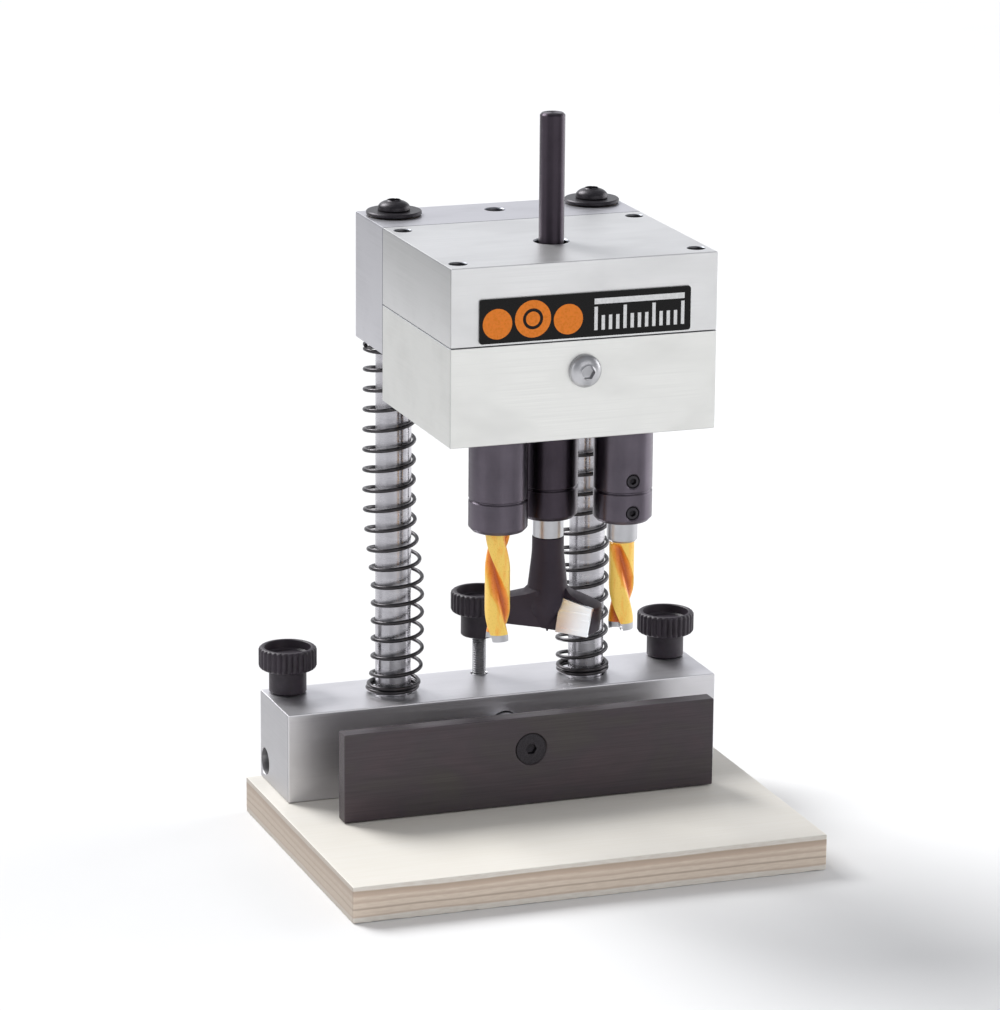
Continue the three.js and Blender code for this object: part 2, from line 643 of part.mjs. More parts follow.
function spindleGroup(place) {
  const { name, x, y } = place;
  const isDrive = name === 'drive';
  const holder = groupAt([0, 0, 0], node(`${name}_spindle`, spindle(name), GUNMETAL()));
  SET_SCREW.heights.forEach((z, i) => {
    const level = i === 0 ? 'lower' : 'upper';
    holder.add(node(`${name}_${level}_set_screw`, setScrew(), BLACK_OXIDE(), [0, 0, z]));
  });
  holder.rotation.z = THREE.MathUtils.degToRad(screwAngles[name]);
  const wheel = node(`${name}_gear`, gear(), STEEL());
  wheel.rotation.z = meshPhase(place);
  const bit = isDrive
    ? node('hinge_cutter', cutter(), BLACK_OXIDE())
    : node(`${name}_drill`, drill(), ORANGE_COATING());
  bit.rotation.z = THREE.MathUtils.degToRad(BIT_ANGLES[name]);
  const lower = node(`${name}_lower_bearing`, bearing(), STEEL(), [0, 0, BEARING.lowerZ]);
  const upper = node(`${name}_upper_bearing`, bearing(), STEEL(), [0, 0, BEARING.upperZ]);
  return groupAt([x, y, 0], holder, wheel, bit, lower, upper);
}

// ---------- fence ----------

function fencePlate() {
  const { width, front, thickness, height, chamfer } = FENCE;
  const plate = block([-width / 2, width / 2], [front, front + thickness], [GAP, height], chamfer);
  const mouthRadius = FENCE_SCREW.headRadius + GAP + OVERCUT;
  const throatRadius = M6.shankRadius + GAP;
  const sink = turned([
    [0, -OVERCUT],
    [mouthRadius, -OVERCUT],
    [throatRadius, FENCE_SCREW.coneDepth],
    [throatRadius, thickness + OVERCUT],
    [0, thickness + OVERCUT],
  ], 20);
  return node('fence_plate', cut(plate, alongY(sink).translate(0, front, FENCE_ROD.z)), BURNISHED());
}

function fenceRod() {
  const { radius, z, end, chamfer, tappedDepth } = FENCE_ROD;
  const start = FENCE.front + FENCE.thickness + THIN_GAP;
  const bar = turned([
    [0, start],
    [radius, start],
    [radius, end - chamfer],
    [radius - chamfer, end],
    [0, end],
  ]);
  const tapped = rod(M6.tappedRadius, start - OVERCUT, start + tappedDepth, 0, 0, 12);
  return node('fence_rod', alongY(cut(bar, tapped)), STEEL(), [0, 0, z]);
}

function fenceScrew() {
  const { headRadius, coneDepth, sunk, length, socketRadius } = FENCE_SCREW;
  const screw = turned([
    [0, sunk],
    [headRadius, sunk],
    [M6.shankRadius, coneDepth],
    [M6.shankRadius, length],
    [0, length],
  ], 20);
  const socketed = alongY(cut(screw, hexSocket(socketRadius, -OVERCUT, 2)));
  return node('fence_screw', socketed, BLACK_OXIDE(), [0, FENCE.front, FENCE_ROD.z]);
}

// ---------- clamps ----------

function knob() {
  const { headRadius, hubRadius, hubHeight, height, studDepth } = KNOB;
  const core = headRadius - 0.65;
  const body = turned([
    [0, 0],
    [hubRadius - 0.3, 0],
    [hubRadius, 0.3],
    [hubRadius, hubHeight - 0.2],
    [core - 0.6, hubHeight],
    [core, hubHeight + 0.6],
    [core, height - 0.5],
    [core - 0.6, height],
    [headRadius - 2.1, height - 0.1],
    [headRadius - 2.9, height - 1.6],
    [0, height - 2],
  ]);
  const star = new THREE.Shape(Array.from({ length: 2 * KNOB_RIBS.count }, (_, i) => {
    const radius = i % 2 ? headRadius : headRadius - KNOB_RIBS.depth;
    const angle = (i * Math.PI) / KNOB_RIBS.count;
    return new THREE.Vector2(radius * Math.cos(angle), radius * Math.sin(angle));
  }));
  const ribbed = new THREE.ExtrudeGeometry(star, { depth: height - hubHeight - 1.8, bevelEnabled: false });
  const grip = cut(ribbed.translate(0, 0, hubHeight + 0.7), rod(hubRadius, hubHeight, height));
  return cut(join(body, grip), rod(CLAMP.studRadius + FIT, -OVERCUT, studDepth, 0, 0, 12));
}

// A knob with its threaded stud, and the brass pad that the stud presses down.
// knobZ is the height of the knob's underside, and padZ that of the pad's.
function clamp(name, x, knobZ, padZ) {
  const studBottom = padZ + CLAMP.padHeight + CLAMP_PAD_GAP;
  const studTop = knobZ + KNOB.studDepth - GAP;
  const r = CLAMP.studRadius;
  const stud = turned([
    [0, studBottom],
    [r - 0.5, studBottom],
    [r, studBottom + 0.5],
    [r, studTop],
    [0, studTop],
  ], 16);
  const pad = rod(CLAMP.padRadius, padZ, padZ + CLAMP.padHeight, 0, 0, 16);
  return groupAt(
    [x, CLAMP.y, 0],
    node(`${name}_knob`, knob(), BLACK_PLASTIC(), [0, 0, knobZ]),
    node(`${name}_knob_stud`, stud, STEEL()),
    node(`${name}_clamp_pad`, pad, BRONZE()),
  );
}

// ---------- assembly ----------

const machine = new THREE.Group();
machine.add(plywoodBoard(), baseBlock());
for (const { name, sign } of SIDES) {
  machine.add(groupAt(
    [(sign * COLUMN.spacing) / 2, 0, 0],
    column(name),
    columnBolt(name),
    columnWasher(name),
    columnTopScrew(name),
    spring(name),
    guideBush(name),
  ));
  machine.add(clamp(name, sign * CLAMP.sideX, BASE.height + GAP, SIDE_BORE.z + SIDE_BORE.radius + 0.5));
}
machine.add(clamp('fence', 0, FENCE_KNOB_Z, FENCE_ROD.z + FENCE_ROD.radius + GAP));
machine.add(lowerHousing(), upperHousing(), guideBlock(), plugScrew(), labelPlate(), depthStopScrew());
machine.add(...coverScrewPlaces.map(coverScrew), ...SIDES.map(guideBolt));
machine.add(...SPINDLES.map(spindleGroup));
machine.add(fencePlate(), fenceRod(), fenceScrew());

// The footprint runs from the board's front edge to the end of the fence rod.
machine.position.set(0, -(BOARD.front + FENCE_ROD.end) / 2, BOARD.thickness);

const group = new THREE.Group();
group.add(machine);

export default group;
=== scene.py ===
import math

import bmesh
import bpy
from mathutils import Matrix, Vector, noise


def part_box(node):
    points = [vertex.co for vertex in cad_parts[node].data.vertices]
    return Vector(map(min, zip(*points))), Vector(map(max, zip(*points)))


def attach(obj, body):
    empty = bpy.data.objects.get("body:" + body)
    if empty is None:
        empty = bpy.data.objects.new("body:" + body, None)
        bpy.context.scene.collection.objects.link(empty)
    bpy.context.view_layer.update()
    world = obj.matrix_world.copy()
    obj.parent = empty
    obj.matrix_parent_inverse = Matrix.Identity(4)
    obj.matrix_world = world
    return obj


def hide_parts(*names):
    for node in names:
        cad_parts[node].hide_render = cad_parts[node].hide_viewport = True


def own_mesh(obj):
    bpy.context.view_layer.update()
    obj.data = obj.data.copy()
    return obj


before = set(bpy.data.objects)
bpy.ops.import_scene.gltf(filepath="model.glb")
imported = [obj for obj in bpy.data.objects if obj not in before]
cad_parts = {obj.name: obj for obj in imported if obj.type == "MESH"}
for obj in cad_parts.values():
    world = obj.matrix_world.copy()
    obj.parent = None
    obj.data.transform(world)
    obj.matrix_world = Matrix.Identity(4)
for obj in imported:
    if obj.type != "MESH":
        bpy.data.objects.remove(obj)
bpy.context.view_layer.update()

MM = 0.001  # lengths below are in millimetres unless a name says otherwise
TURN = 2 * math.pi
SHARP_EDGE = math.radians(32)

# ---------------------------------------------------------------- dimensions

CAMERA = {
    "target": (-4.1, 18.0, 108.4),
    "azimuth": 19.85,
    "elevation": 15.01,
    "roll": 0.47,
    "distance": 1512.8,
    "lens": 165.8,
}
EDGE = {"fine": 0.14, "plain": 0.5}
BOARD = {"edge": 0.35, "pieces": 240}
TEAR = {"height": 1.6, "depth": 0.32, "reach": 0.5, "scale": 0.9, "slice": 3.7, "share": 0.25}
SIDE_BORE = {"radius": 4.5, "depth": 25.0, "height": 6.6}
SPRING = {
    "mean_radius": 8.2,
    "wire_radius": 0.65,
    "foot_turns": 2,
    "live_turns": 17.5,
    "head_turns": 1,
    "dead_pitch": 1.3,
}
CLOSER_COILS = {"turns": 7, "pitch_share": 0.9}
SPRING_BOW = {
    "left": [
        (0, -0.4), (0.05, 0.9), (0.12, 1.4), (0.32, 1.4), (0.38, 0.5), (0.44, -0.4), (0.5, -1.1), (0.6, -1.4),
        (1, -1.2),
    ],
    "right": [(0, -1.0), (0.1, -1.4), (0.45, -1.4), (0.6, 0.2), (1, 0.8)],
}
BOW_DIRECTION = Vector((0.94, -0.34, 0))
HOLDER = {
    "chamfer": 1.2,
    "groove_height": 10.2,
    "groove_depth": 0.55,
    "bore": 5.1,
    "bore_depth": 20.5,
    "neck": 6.5,
    "set_screw_heights": (3.9, 14.3),
}
SET_SCREW = {"radius": 2.0, "socket": 1.15, "start": 5.2, "inset": 0.4, "hole": 2.25, "hole_depth": 6}
DRIVE_SHANK = {"radius": 4.0, "chamfer": 0.6}
HOLDER_ANGLES = {"drive": 60, "left": 130, "right": -90}
SEAT_RADIUS = 4.85
BUTTON_HEAD = {"radius": 5.25, "height": 3.3, "shank": 2.9, "socket": 2.3}
BIT_SHANK_RADIUS = 4.9
DRILL = {
    "radius": 4.0,
    "web": 1.9,
    "twist_per_mm": 0.122,
    "land": 88.0,
    "face": 1.9,
    "ground_tip": 1.3,
    "runout": 3.5,
}
DRILL_TURN = {"left": 60.9, "right": 92.3}
CUTTER = {"radius": 17.5, "face": 2.0, "rim_top": 10.4, "wing_top": 13.8, "stem_top": 31.9, "angle": -50.0}
CUTTER_STEM = {"core": 3.0, "foot": 6.6, "top": 5.1}
CUTTER_LEAN = 0.3
KNOB = {"ribs": 30, "rib_depth": 0.5, "hub": 6.2, "hub_height": 7.8, "rim": 1.9, "dish": 3.2}
PLATE_SCREW_CONE = 2.6
TAPPED_RADIUS = 3.1
GAP = 0.02  # between two pieces that meet end to end
PAST = 1  # how far a cutting tool runs past a far face
WASHER = {"inner": 3.25, "outer": 9.0, "chamfer": 0.3}
BUSH = {"inner": 6.2, "outer": 8.0, "chamfer": 0.2}
COVER_SCREW = {"shank": 1.45, "head": 2.6, "head_height": 2.6, "socket": 1.5, "socket_depth": 1.4}
GUIDE_BOLT = {"shank": 2.4, "head": 4.2, "head_height": 5, "socket": 2.4, "socket_depth": 2.6}
STOP_PIN_LENGTH = 50.4
LABEL = {"corner": 0.9, "ink": 0.04, "cup": (5.9, 3.3), "core": 2.3, "dowel": 4.8, "reach": 11.6, "drop": 0.9}
SCALE = {"ticks": 13, "pitch": 2.4, "tick_width": 1.1, "foot": -5.0, "tall": 7.4, "short": 4.6}
SCALE_BAR = {"foot": 3.2, "length": 29.9, "height": 1.8}

SIDES = ("left", "right")
SPINDLES = ("drive", "left", "right")
CLAMPS = ("left", "right", "fence")
COVER_SCREWS = [f"{end}_{side}_cover_screw" for end in ("front", "rear") for side in SIDES]
KNOB_NODES = [f"{clamp}_knob" for clamp in CLAMPS]
SPINDLE_NODES = [f"{name}_spindle" for name in SPINDLES]
COLUMN_NODES = [f"{side}_column" for side in SIDES]
COLUMN_BOLT_NODES = [f"{side}_column_bolt" for side in SIDES]
GUIDE_BOLT_NODES = [f"{side}_guide_bolt" for side in SIDES]

# A block's holes: the nodes on whose axes they lie, the face, the radius, the depth and the chamfer. A hole
# without a depth goes right through.
HOLES = {
    "plywood_board": [(COLUMN_BOLT_NODES, "-z", 5.5, 7.8), (COLUMN_BOLT_NODES, "-z", 3.3)],
    "base_block": [
        (["fence_rod"], "-y", 5.2, 15.5),
        (["fence_rod"], "+y", 5.2, 16.5),
        (KNOB_NODES, "+z", 2.75, 20),
        (COLUMN_NODES, "+z", 6.2, 22, 0.3),
    ],
    "lower_housing": [
        (["grease_plug_screw"], "-y", TAPPED_RADIUS, 14, 0.1),
        (SPINDLE_NODES, "+z", 13.9, 14.5, 0.1),
        (SPINDLE_NODES, "-z", 7.1, None, 0.3),
    ],
    "upper_housing": [
        (["drive_spindle"], "+z", 5.35, None, 0.4),
        (COVER_SCREWS, "+z", 2.8, 3.6, 0.2),
        (SPINDLE_NODES, "-z", 11.2, 6.8, 0.1),
    ],
    "guide_block": [
        (["depth_stop_screw"], "+z", 3.15, None, 0.3),
        (COLUMN_NODES, "+z", 8.2, None, 0.2),
        (GUIDE_BOLT_NODES, "+y", 4.4, 5.8),
        (GUIDE_BOLT_NODES, "+y", 2.6, None, 0.1),
    ],
}

# The studio's lengths are in metres.
FLOOR_REACH = 12.0
WORLD_LIGHT = {"color": (0.93, 0.95, 1.0, 1), "strength": 0.38}
SUN = {"strength": 3.4, "angle": 30, "direction": (0.36, -0.62, -0.70)}
AREA_LIGHTS = {
    "left": {"place": (-1.7, -0.2, 0.75), "aim": 0.1, "size": (1.0, 1.1), "power": 3},
    "right": {"place": (1.2, 0.16, 0.4), "aim": 0.12, "size": (1.1, 0.7), "power": 7.5},
    "front": {"place": (0.5, -2.2, 0.9), "aim": 0.1, "size": (2.0, 1.0), "power": 7},
    "back": {
        "place": (0.95, 2.7, 0.95), "aim": 0.15, "size": (3.4, 1.5), "power": 10, "color": (0.95, 0.96, 1.0)
    },
}

# ---------------------------------------------------------------- places


def corners_of(node):
    """A CAD node's lowest and highest corner."""
    low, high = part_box(node)
    return low / MM, high / MM


def axis_of(node):
    """The plan position of an upright node's axis, with its lowest and highest height."""
    low, high = corners_of(node)
    return (low.x + high.x) / 2, (low.y + high.y) / 2, low.z, high.z


def box_of(node):
    """Half the size of a CAD node's box, and the box's centre."""
    low, high = corners_of(node)
    return (high - low) / 2, (high + low) / 2


# ---------------------------------------------------------------- mesh tools


def lathe(profile, segments=72, closed=False):
    """A shape turned about Z from (radius, height) points. A closed profile joins its two ends."""
    made = bmesh.new()
    rings = []
    for radius, height in profile:
        if radius < 1e-6:
            rings.append([made.verts.new((0, 0, height))])
            continue
        steps = [TURN * i / segments for i in range(segments)]
        rings.append([made.verts.new((radius * math.cos(a), radius * math.sin(a), height)) for a in steps])
    pairs = list(zip(rings, rings[1:]))
    if closed:
        pairs.append((rings[-1], rings[0]))
    for lower, upper in pairs:
        for i in range(segments):
            j = (i + 1) % segments
            around = [(lower, i), (lower, j), (upper, j), (upper, i)]
            distinct = list(dict.fromkeys(ring[k % len(ring)] for ring, k in around))
            if len(distinct) > 2:
                made.faces.new(distinct)
    bmesh.ops.recalc_face_normals(made, faces=made.faces)
    return made


def soften(corners, radius=0.25, steps=3):
    """A profile with its inner corners rounded. A corner may carry its own radius as a third value."""
    result = [tuple(corners[0][:2])]
    for before, corner, after in zip(corners, corners[1:], corners[2:]):
        here = Vector(corner[:2])
        back = Vector(before[:2]) - here
        ahead = Vector(after[:2]) - here
        reach = min(corner[2] if len(corner) > 2 else radius, back.length * 0.45, ahead.length * 0.45)
        start = here + back.normalized() * reach
        end = here + ahead.normalized() * reach
        for i in range(steps + 1):
            t = i / steps
            result.append(tuple(start * (1 - t) ** 2 + here * 2 * t * (1 - t) + end * t * t))
    result.append(tuple(corners[-1][:2]))
    return result


def turned(corners, radius=0.25, segments=72):
    """A solid turned about Z, with softened corners."""
    return lathe(soften(corners, radius), segments)


def loft(rings):
    """A closed skin over rings of points that all have the same count."""
    made = bmesh.new()
    rows = [[made.verts.new(point) for point in ring] for ring in rings]
    count = len(rows[0])
    for lower, upper in zip(rows, rows[1:]):
        for i in range(count):
            j = (i + 1) % count
            made.faces.new((lower[i], lower[j], upper[j], upper[i]))
    made.faces.new(list(reversed(rows[0])))
    made.faces.new(rows[-1])
    bmesh.ops.recalc_face_normals(made, faces=made.faces)
    return made


def block(low, high, bevel=EDGE["plain"], fine_planes=()):
    """A box with bevelled edges. Edges on a fine plane, given as (axis, value), are nearly sharp."""
    made = bmesh.new()
    bmesh.ops.create_cube(made, size=1)
    size = [h - l for l, h in zip(low, high)]
    middle = [(h + l) / 2 for l, h in zip(low, high)]
    bmesh.ops.scale(made, vec=size, verts=made.verts)
    bmesh.ops.translate(made, vec=middle, verts=made.verts)

    def is_fine(edge):
        ends = [vert.co for vert in edge.verts]
        return any(all(abs(co[axis] - value) < 1e-3 for co in ends) for axis, value in fine_planes)

    fine = [edge for edge in made.edges if is_fine(edge)]
    plain = [edge for edge in made.edges if edge not in fine]
    bmesh.ops.bevel(made, geom=plain, offset=bevel, segments=2, profile=0.5, affect="EDGES")
    fine = [edge for edge in made.edges if is_fine(edge)]
    if fine:
        bmesh.ops.bevel(made, geom=fine, offset=EDGE["fine"], segments=1, affect="EDGES")
    return made


def moved(made, offset=(0, 0, 0), turn=0.0, tilt=None):
    """The same mesh turned about Z by an angle in degrees, tilted by a matrix, and then moved."""
    if turn:
        made.transform(Matrix.Rotation(math.radians(turn), 4, "Z"))
    if tilt is not None:
        made.transform(tilt)
    made.transform(Matrix.Translation(offset))
    return made


TOWARDS = {
    "+y": Matrix.Rotation(-math.pi / 2, 4, "X"),
    "-y": Matrix.Rotation(math.pi / 2, 4, "X"),
    "+x": Matrix.Rotation(math.pi / 2, 4, "Y"),
    "-x": Matrix.Rotation(-math.pi / 2, 4, "Y"),
    "-z": Matrix.Rotation(math.pi, 4, "X"),
    "+z": Matrix.Identity(4),
}


def drilled(mouth, outward, radius, depth, chamfer=0.25, sides=48):
    """A cutting tool for a round hole whose mouth, with a small chamfer, lies at a point of a face."""
    lip = 0.4
    profile = [(0, -depth), (radius, -depth), (radius, -chamfer), (radius + chamfer + lip, lip), (0, lip)]
    return moved(lathe(profile, sides), mouth, tilt=TOWARDS[outward])


def hole(block_node, node, outward, radius, depth=None, chamfer=0.25):
    """A cutting tool for a hole on a node's axis, in a face of the block that another node's box gives."""
    half, centre = box_of(block_node)
    mouth = box_of(node)[1] - centre
    axis = "xyz".index(outward[1])
    mouth[axis] = half[axis] if outward[0] == "+" else -half[axis]
    return drilled(mouth, outward, radius, depth or half[axis] * 2 + PAST, chamfer)


def holes(block_node):
    """The cutting tools for all the holes that are listed for a block."""
    return [hole(block_node, node, *sizes) for nodes, *sizes in HOLES[block_node] for node in nodes]


def hexagon(across_corners, z0, z1):
    """A cutting tool for a hexagonal socket from z1 down to z0, with a conical floor."""
    return lathe([(0, z0 - across_corners * 0.3), (across_corners, z0), (across_corners, z1), (0, z1)], 6)


def join(*parts):
    """Several closed meshes as one piece."""
    whole = bmesh.new()
    for part in parts:
        mesh = bpy.data.meshes.new("part")
        part.to_mesh(mesh)
        whole.from_mesh(mesh)
        bpy.data.meshes.remove(mesh)
    return whole


def scratch_object(made):
    mesh = bpy.data.meshes.new("scratch")
    made.to_mesh(mesh)
    made.free()
    scratch = bpy.data.objects.new("scratch", mesh)
    bpy.context.scene.collection.objects.link(scratch)
    return scratch


def carve(made, *tools, operation="DIFFERENCE"):
    """A mesh with the tools cut out of it, or with another boolean operation."""
    body = scratch_object(made)
    cutters = [scratch_object(tool) for tool in tools]
    for cutter in cutters:
        modifier = body.modifiers.new("cut", "BOOLEAN")
        modifier.operation = operation
        modifier.solver = "EXACT"
        modifier.object = cutter
    result = bmesh.new()
    result.from_object(body, bpy.context.evaluated_depsgraph_get())
    for scratch in [body, *cutters]:
        bpy.data.meshes.remove(scratch.data)
    bmesh.ops.remove_doubles(result, verts=result.verts, dist=1e-4)
    bmesh.ops.dissolve_degenerate(result, edges=result.edges, dist=1e-4)
    return result


def thread(radius, depth, pitch, z0, z1, sides=36):
    """A threaded rod about Z, with its ends tapered."""
    steps_per_turn = 8
    count = int((z1 - z0) / pitch * steps_per_turn)
    rings = []
    for i in range(count + 1):
        z = z0 + (z1 - z0) * i / count
        end_taper = max(0.0, depth - (z - z0)) + max(0.0, depth - (z1 - z))
        ring = []
        for j in range(sides):
            phase = (z / pitch - j / sides) % 1
            groove = 1 - abs(2 * phase - 1)
            r = min(radius - depth * groove, radius - end_taper)
            angle = TURN * j / sides
            ring.append((r * math.cos(angle), r * math.sin(angle), z))
        rings.append(ring)
    return loft(rings)


# ---------------------------------------------------------------- pieces


def piece(name, made, body, material, replaces=(), at=(0, 0, 0)):
    """Turns a mesh in millimetres into a finished piece that rides on a CAD body."""
    made.transform(Matrix.Scale(MM, 4))
    mesh = bpy.data.meshes.new(name)
    made.to_mesh(mesh)
    made.free()
    mesh.polygons.foreach_set("use_smooth", [True] * len(mesh.polygons))
    mesh.set_sharp_from_angle(angle=SHARP_EDGE)
    made_object = bpy.data.objects.new(name, mesh)
    bpy.context.scene.collection.objects.link(made_object)
    made_object.location = Vector(at) * MM
    weighted = made_object.modifiers.new("weighted_normals", "WEIGHTED_NORMAL")
    weighted.keep_sharp = True
    mesh.materials.append(material)
    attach(made_object, body)
    if replaces:
        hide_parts(*replaces)
    return made_object


# ---------------------------------------------------------------- materials


class Paint:
    """A Principled material under construction, with textures measured in millimetres."""

    def __init__(self, name, color, roughness, metallic=0.0, **inputs):
        self.material = bpy.data.materials.new(name)
        self.material.use_nodes = True
        self.tree = self.material.node_tree
        self.shader = self.tree.nodes["Principled BSDF"]
        self.set("Base Color", (*color, 1))
        self.set("Roughness", roughness)
        self.set("Metallic", metallic)
        for label, value in inputs.items():
            self.set(label.replace("_", " "), value)

    def set(self, label, value):
        self.shader.inputs[label].default_value = value

    def add(self, kind, **settings):
        node = self.tree.nodes.new(kind)
        for key, value in settings.items():
            setattr(node, key, value)
        return node

    def link(self, source, target):
        self.tree.links.new(source, target)

    def position(self, stretch=(1, 1, 1)):
        """The place on the piece in millimetres, each axis times its own factor."""
        place = self.add("ShaderNodeTexCoord").outputs["Object"]
        mapping = self.add("ShaderNodeMapping")
        mapping.inputs["Scale"].default_value = [factor / MM for factor in stretch]
        self.link(place, mapping.inputs["Vector"])
        return mapping.outputs["Vector"]

    def noise(self, stretch=(1, 1, 1), scale=1.0, detail=3.0, roughness=0.55, distortion=0.0):
        texture = self.add("ShaderNodeTexNoise")
        texture.inputs["Scale"].default_value = scale
        texture.inputs["Detail"].default_value = detail
        texture.inputs["Roughness"].default_value = roughness
        texture.inputs["Distortion"].default_value = distortion
        self.link(self.position(stretch), texture.inputs["Vector"])
        return texture.outputs["Fac"]

    def split(self, vector):
        """The X, Y and Z outputs of a vector."""
        node = self.add("ShaderNodeSeparateXYZ")
        self.link(vector, node.inputs["Vector"])
        return node.outputs

    def height(self):
        """The height on the piece in millimetres."""
        return self.split(self.position())["Z"]

    def normal(self):
        """The X, Y and Z outputs of the surface's direction on the piece."""
        return self.split(self.add("ShaderNodeTexCoord").outputs["Normal"])

    def math(self, operation, first, second):
        node = self.add("ShaderNodeMath", operation=operation)
        for socket, value in zip(node.inputs, (first, second)):
            if isinstance(value, (int, float)):
                socket.default_value = value
            else:
                self.link(value, socket)
        return node.outputs["Value"]

    def absolute(self, value):
        """A value without its sign."""
        return self.math("ABSOLUTE", value, 0.0)

    def largest(self, parts):
        """The largest of a vector's X, Y and Z, without their signs."""
        x, y, z = (self.absolute(parts[name]) for name in "XYZ")
        return self.math("MAXIMUM", self.math("MAXIMUM", x, y), z)

    def remap(self, value, low, high, from_low=0.3, from_high=0.7):
        node = self.add("ShaderNodeMapRange")
        node.inputs["From Min"].default_value = from_low
        node.inputs["From Max"].default_value = from_high
        node.inputs["To Min"].default_value = low
        node.inputs["To Max"].default_value = high
        self.link(value, node.inputs["Value"])
        return node.outputs["Result"]

    def ramp(self, value, stops):
        node = self.add("ShaderNodeValToRGB")
        elements = node.color_ramp.elements
        while len(elements) < len(stops):
            elements.new(0.5)
        for element, (place, color) in zip(elements, stops):
            element.position = place
            element.color = (*color, 1)
        self.link(value, node.inputs["Fac"])
        return node.outputs["Color"]

    def mix(self, factor, first, second):
        node = self.add("ShaderNodeMix", data_type="RGBA")
        for label, value in (("Factor", factor), ("A", first), ("B", second)):
            kinds = ("VALUE",) if label == "Factor" else ("RGBA",)
            socket = next(s for s in node.inputs if s.name == label and s.type in kinds)
            if isinstance(value, tuple):
                socket.default_value = (*value, 1)
            else:
                self.link(value, socket)
        return next(s for s in node.outputs if s.type == "RGBA")

    def color(self, value):
        self.link(value, self.shader.inputs["Base Color"])

    def roughness(self, value):
        self.link(value, self.shader.inputs["Roughness"])

    def bump(self, value, depth, strength=1.0):
        node = self.add("ShaderNodeBump")
        node.inputs["Strength"].default_value = strength
        node.inputs["Distance"].default_value = depth * MM
        self.link(value, node.inputs["Height"])
        self.link(node.outputs["Normal"], self.shader.inputs["Normal"])

    def distance_from_axis(self):
        """The distance from the piece's own Z axis in millimetres."""
        node = self.add("ShaderNodeVectorMath", operation="LENGTH")
        self.link(self.position((1, 1, 0)), node.inputs[0])
        return node.outputs["Value"]

    def hole_shade_factor(self, half):
        """1 in the holes of a block with these half sizes, 0 on its outer faces. It masks the painted shade
        in the holes.
        """
        place = self.split(self.position([1 / length for length in half]))
        return self.remap(self.largest(place), 1.0, 0.0, 0.94, 0.985)

    def edge_shade_factor(self):
        """1 on bevels and round walls, 0 on faces square to an axis. It masks painted dark reflections on
        bevels and painted shade on round walls.
        """
        return self.remap(self.largest(self.normal()), 1.0, 0.0, 0.8, 0.99)

    def side_factor(self):
        """1 on faces that look along X, 0 elsewhere."""
        return self.math("GREATER_THAN", self.absolute(self.normal()["X"]), 0.5)


def aluminium(name, node, color, painted_end_shades, edge=0.75, roughness=0.4):
    """Milled aluminium for one block, with tool marks along X, painted dark reflections on its bevels
    and painted shade in its holes.

    The faces that look along X are marked along Y, and are darkened as painted shade: the two end shades give
    how dark they are painted at their foot and top.
    """
    paint = Paint(name, color, roughness, 1.0)
    along_x = paint.noise((0.02, 1.6, 1.6), detail=4)
    along_y = paint.noise((1.6, 0.02, 1.6), detail=4)
    ends = paint.side_factor()
    marks = paint.mix(ends, along_x, along_y)
    blotches = paint.noise((0.03, 0.06, 0.06), detail=3, distortion=0.4)
    half, _ = box_of(node)
    # Painted shade: the faces that look along X are darkened, by the given shades from their foot to their
    # top.
    foot, top = (tuple(c * shade for c in color) for shade in painted_end_shades)
    level = paint.remap(paint.height(), 0.0, 1.0, -half.z, half.z)
    base = paint.mix(ends, color, paint.mix(level, foot, top))
    worn = paint.math("MAXIMUM", paint.remap(marks, 0.0, 0.18), paint.remap(blotches, 0.0, 0.26))
    base = paint.mix(worn, base, tuple(c * 0.45 for c in color))
    # Painted dark reflections on the bevels and painted shade on the round walls: both are mixed towards a
    # dark blue-grey.
    base = paint.mix(paint.math("MULTIPLY", paint.edge_shade_factor(), edge), base, (0.13, 0.14, 0.17))
    # Painted shade in the holes: the colour deep inside the block's box turns nearly black.
    paint.color(paint.mix(paint.hole_shade_factor(half), base, (0.07, 0.07, 0.08)))
    paint.roughness(paint.remap(marks, roughness + 0.05, roughness - 0.04))
    paint.bump(marks, 0.004, 0.4)
    return paint.material


def turned_metal(
    name, color, roughness, rings=3.0, depth=0.003, shade=0.8, metallic=1.0, grind=0.0, **inputs
):
    """Lathe-turned or ground metal, with fine marks round Z. Grind draws its highlights out along Z."""
    paint = Paint(name, color, roughness, metallic, **inputs)
    marks = paint.noise((0.02, 0.02, rings), detail=4)
    clouds = paint.noise((0.15, 0.15, 0.1), detail=3)
    darker = tuple(c * shade for c in color)
    paint.color(paint.mix(paint.remap(clouds, 0.0, 1.0), color, darker))
    paint.roughness(paint.remap(marks, roughness - 0.04, roughness + 0.07))
    paint.bump(marks, depth, 0.5)
    paint.set("Anisotropic", grind)
    paint.set("Anisotropic Rotation", 0.25)
    return paint.material


def black_oxide():
    paint = Paint("black_oxide", (0.03, 0.026, 0.031), 0.36, 0.55)
    grain = paint.noise((1, 1, 1), scale=3.0, detail=4)
    paint.color(paint.ramp(grain, [(0.35, (0.018, 0.016, 0.02)), (0.7, (0.05, 0.044, 0.052))]))
    paint.roughness(paint.remap(grain, 0.3, 0.46))
    paint.bump(grain, 0.012, 0.4)
    return paint.material


def black_plastic():
    paint = Paint("black_plastic", (0.02, 0.016, 0.02), 0.5)
    grain = paint.noise(scale=4.5, detail=3)
    wear = paint.noise(scale=0.22, detail=3)
    paint.color(paint.ramp(wear, [(0.35, (0.017, 0.011, 0.018)), (0.7, (0.032, 0.022, 0.034))]))
    paint.roughness(paint.remap(grain, 0.42, 0.6))
    paint.bump(grain, 0.02, 0.45)
    return paint.material


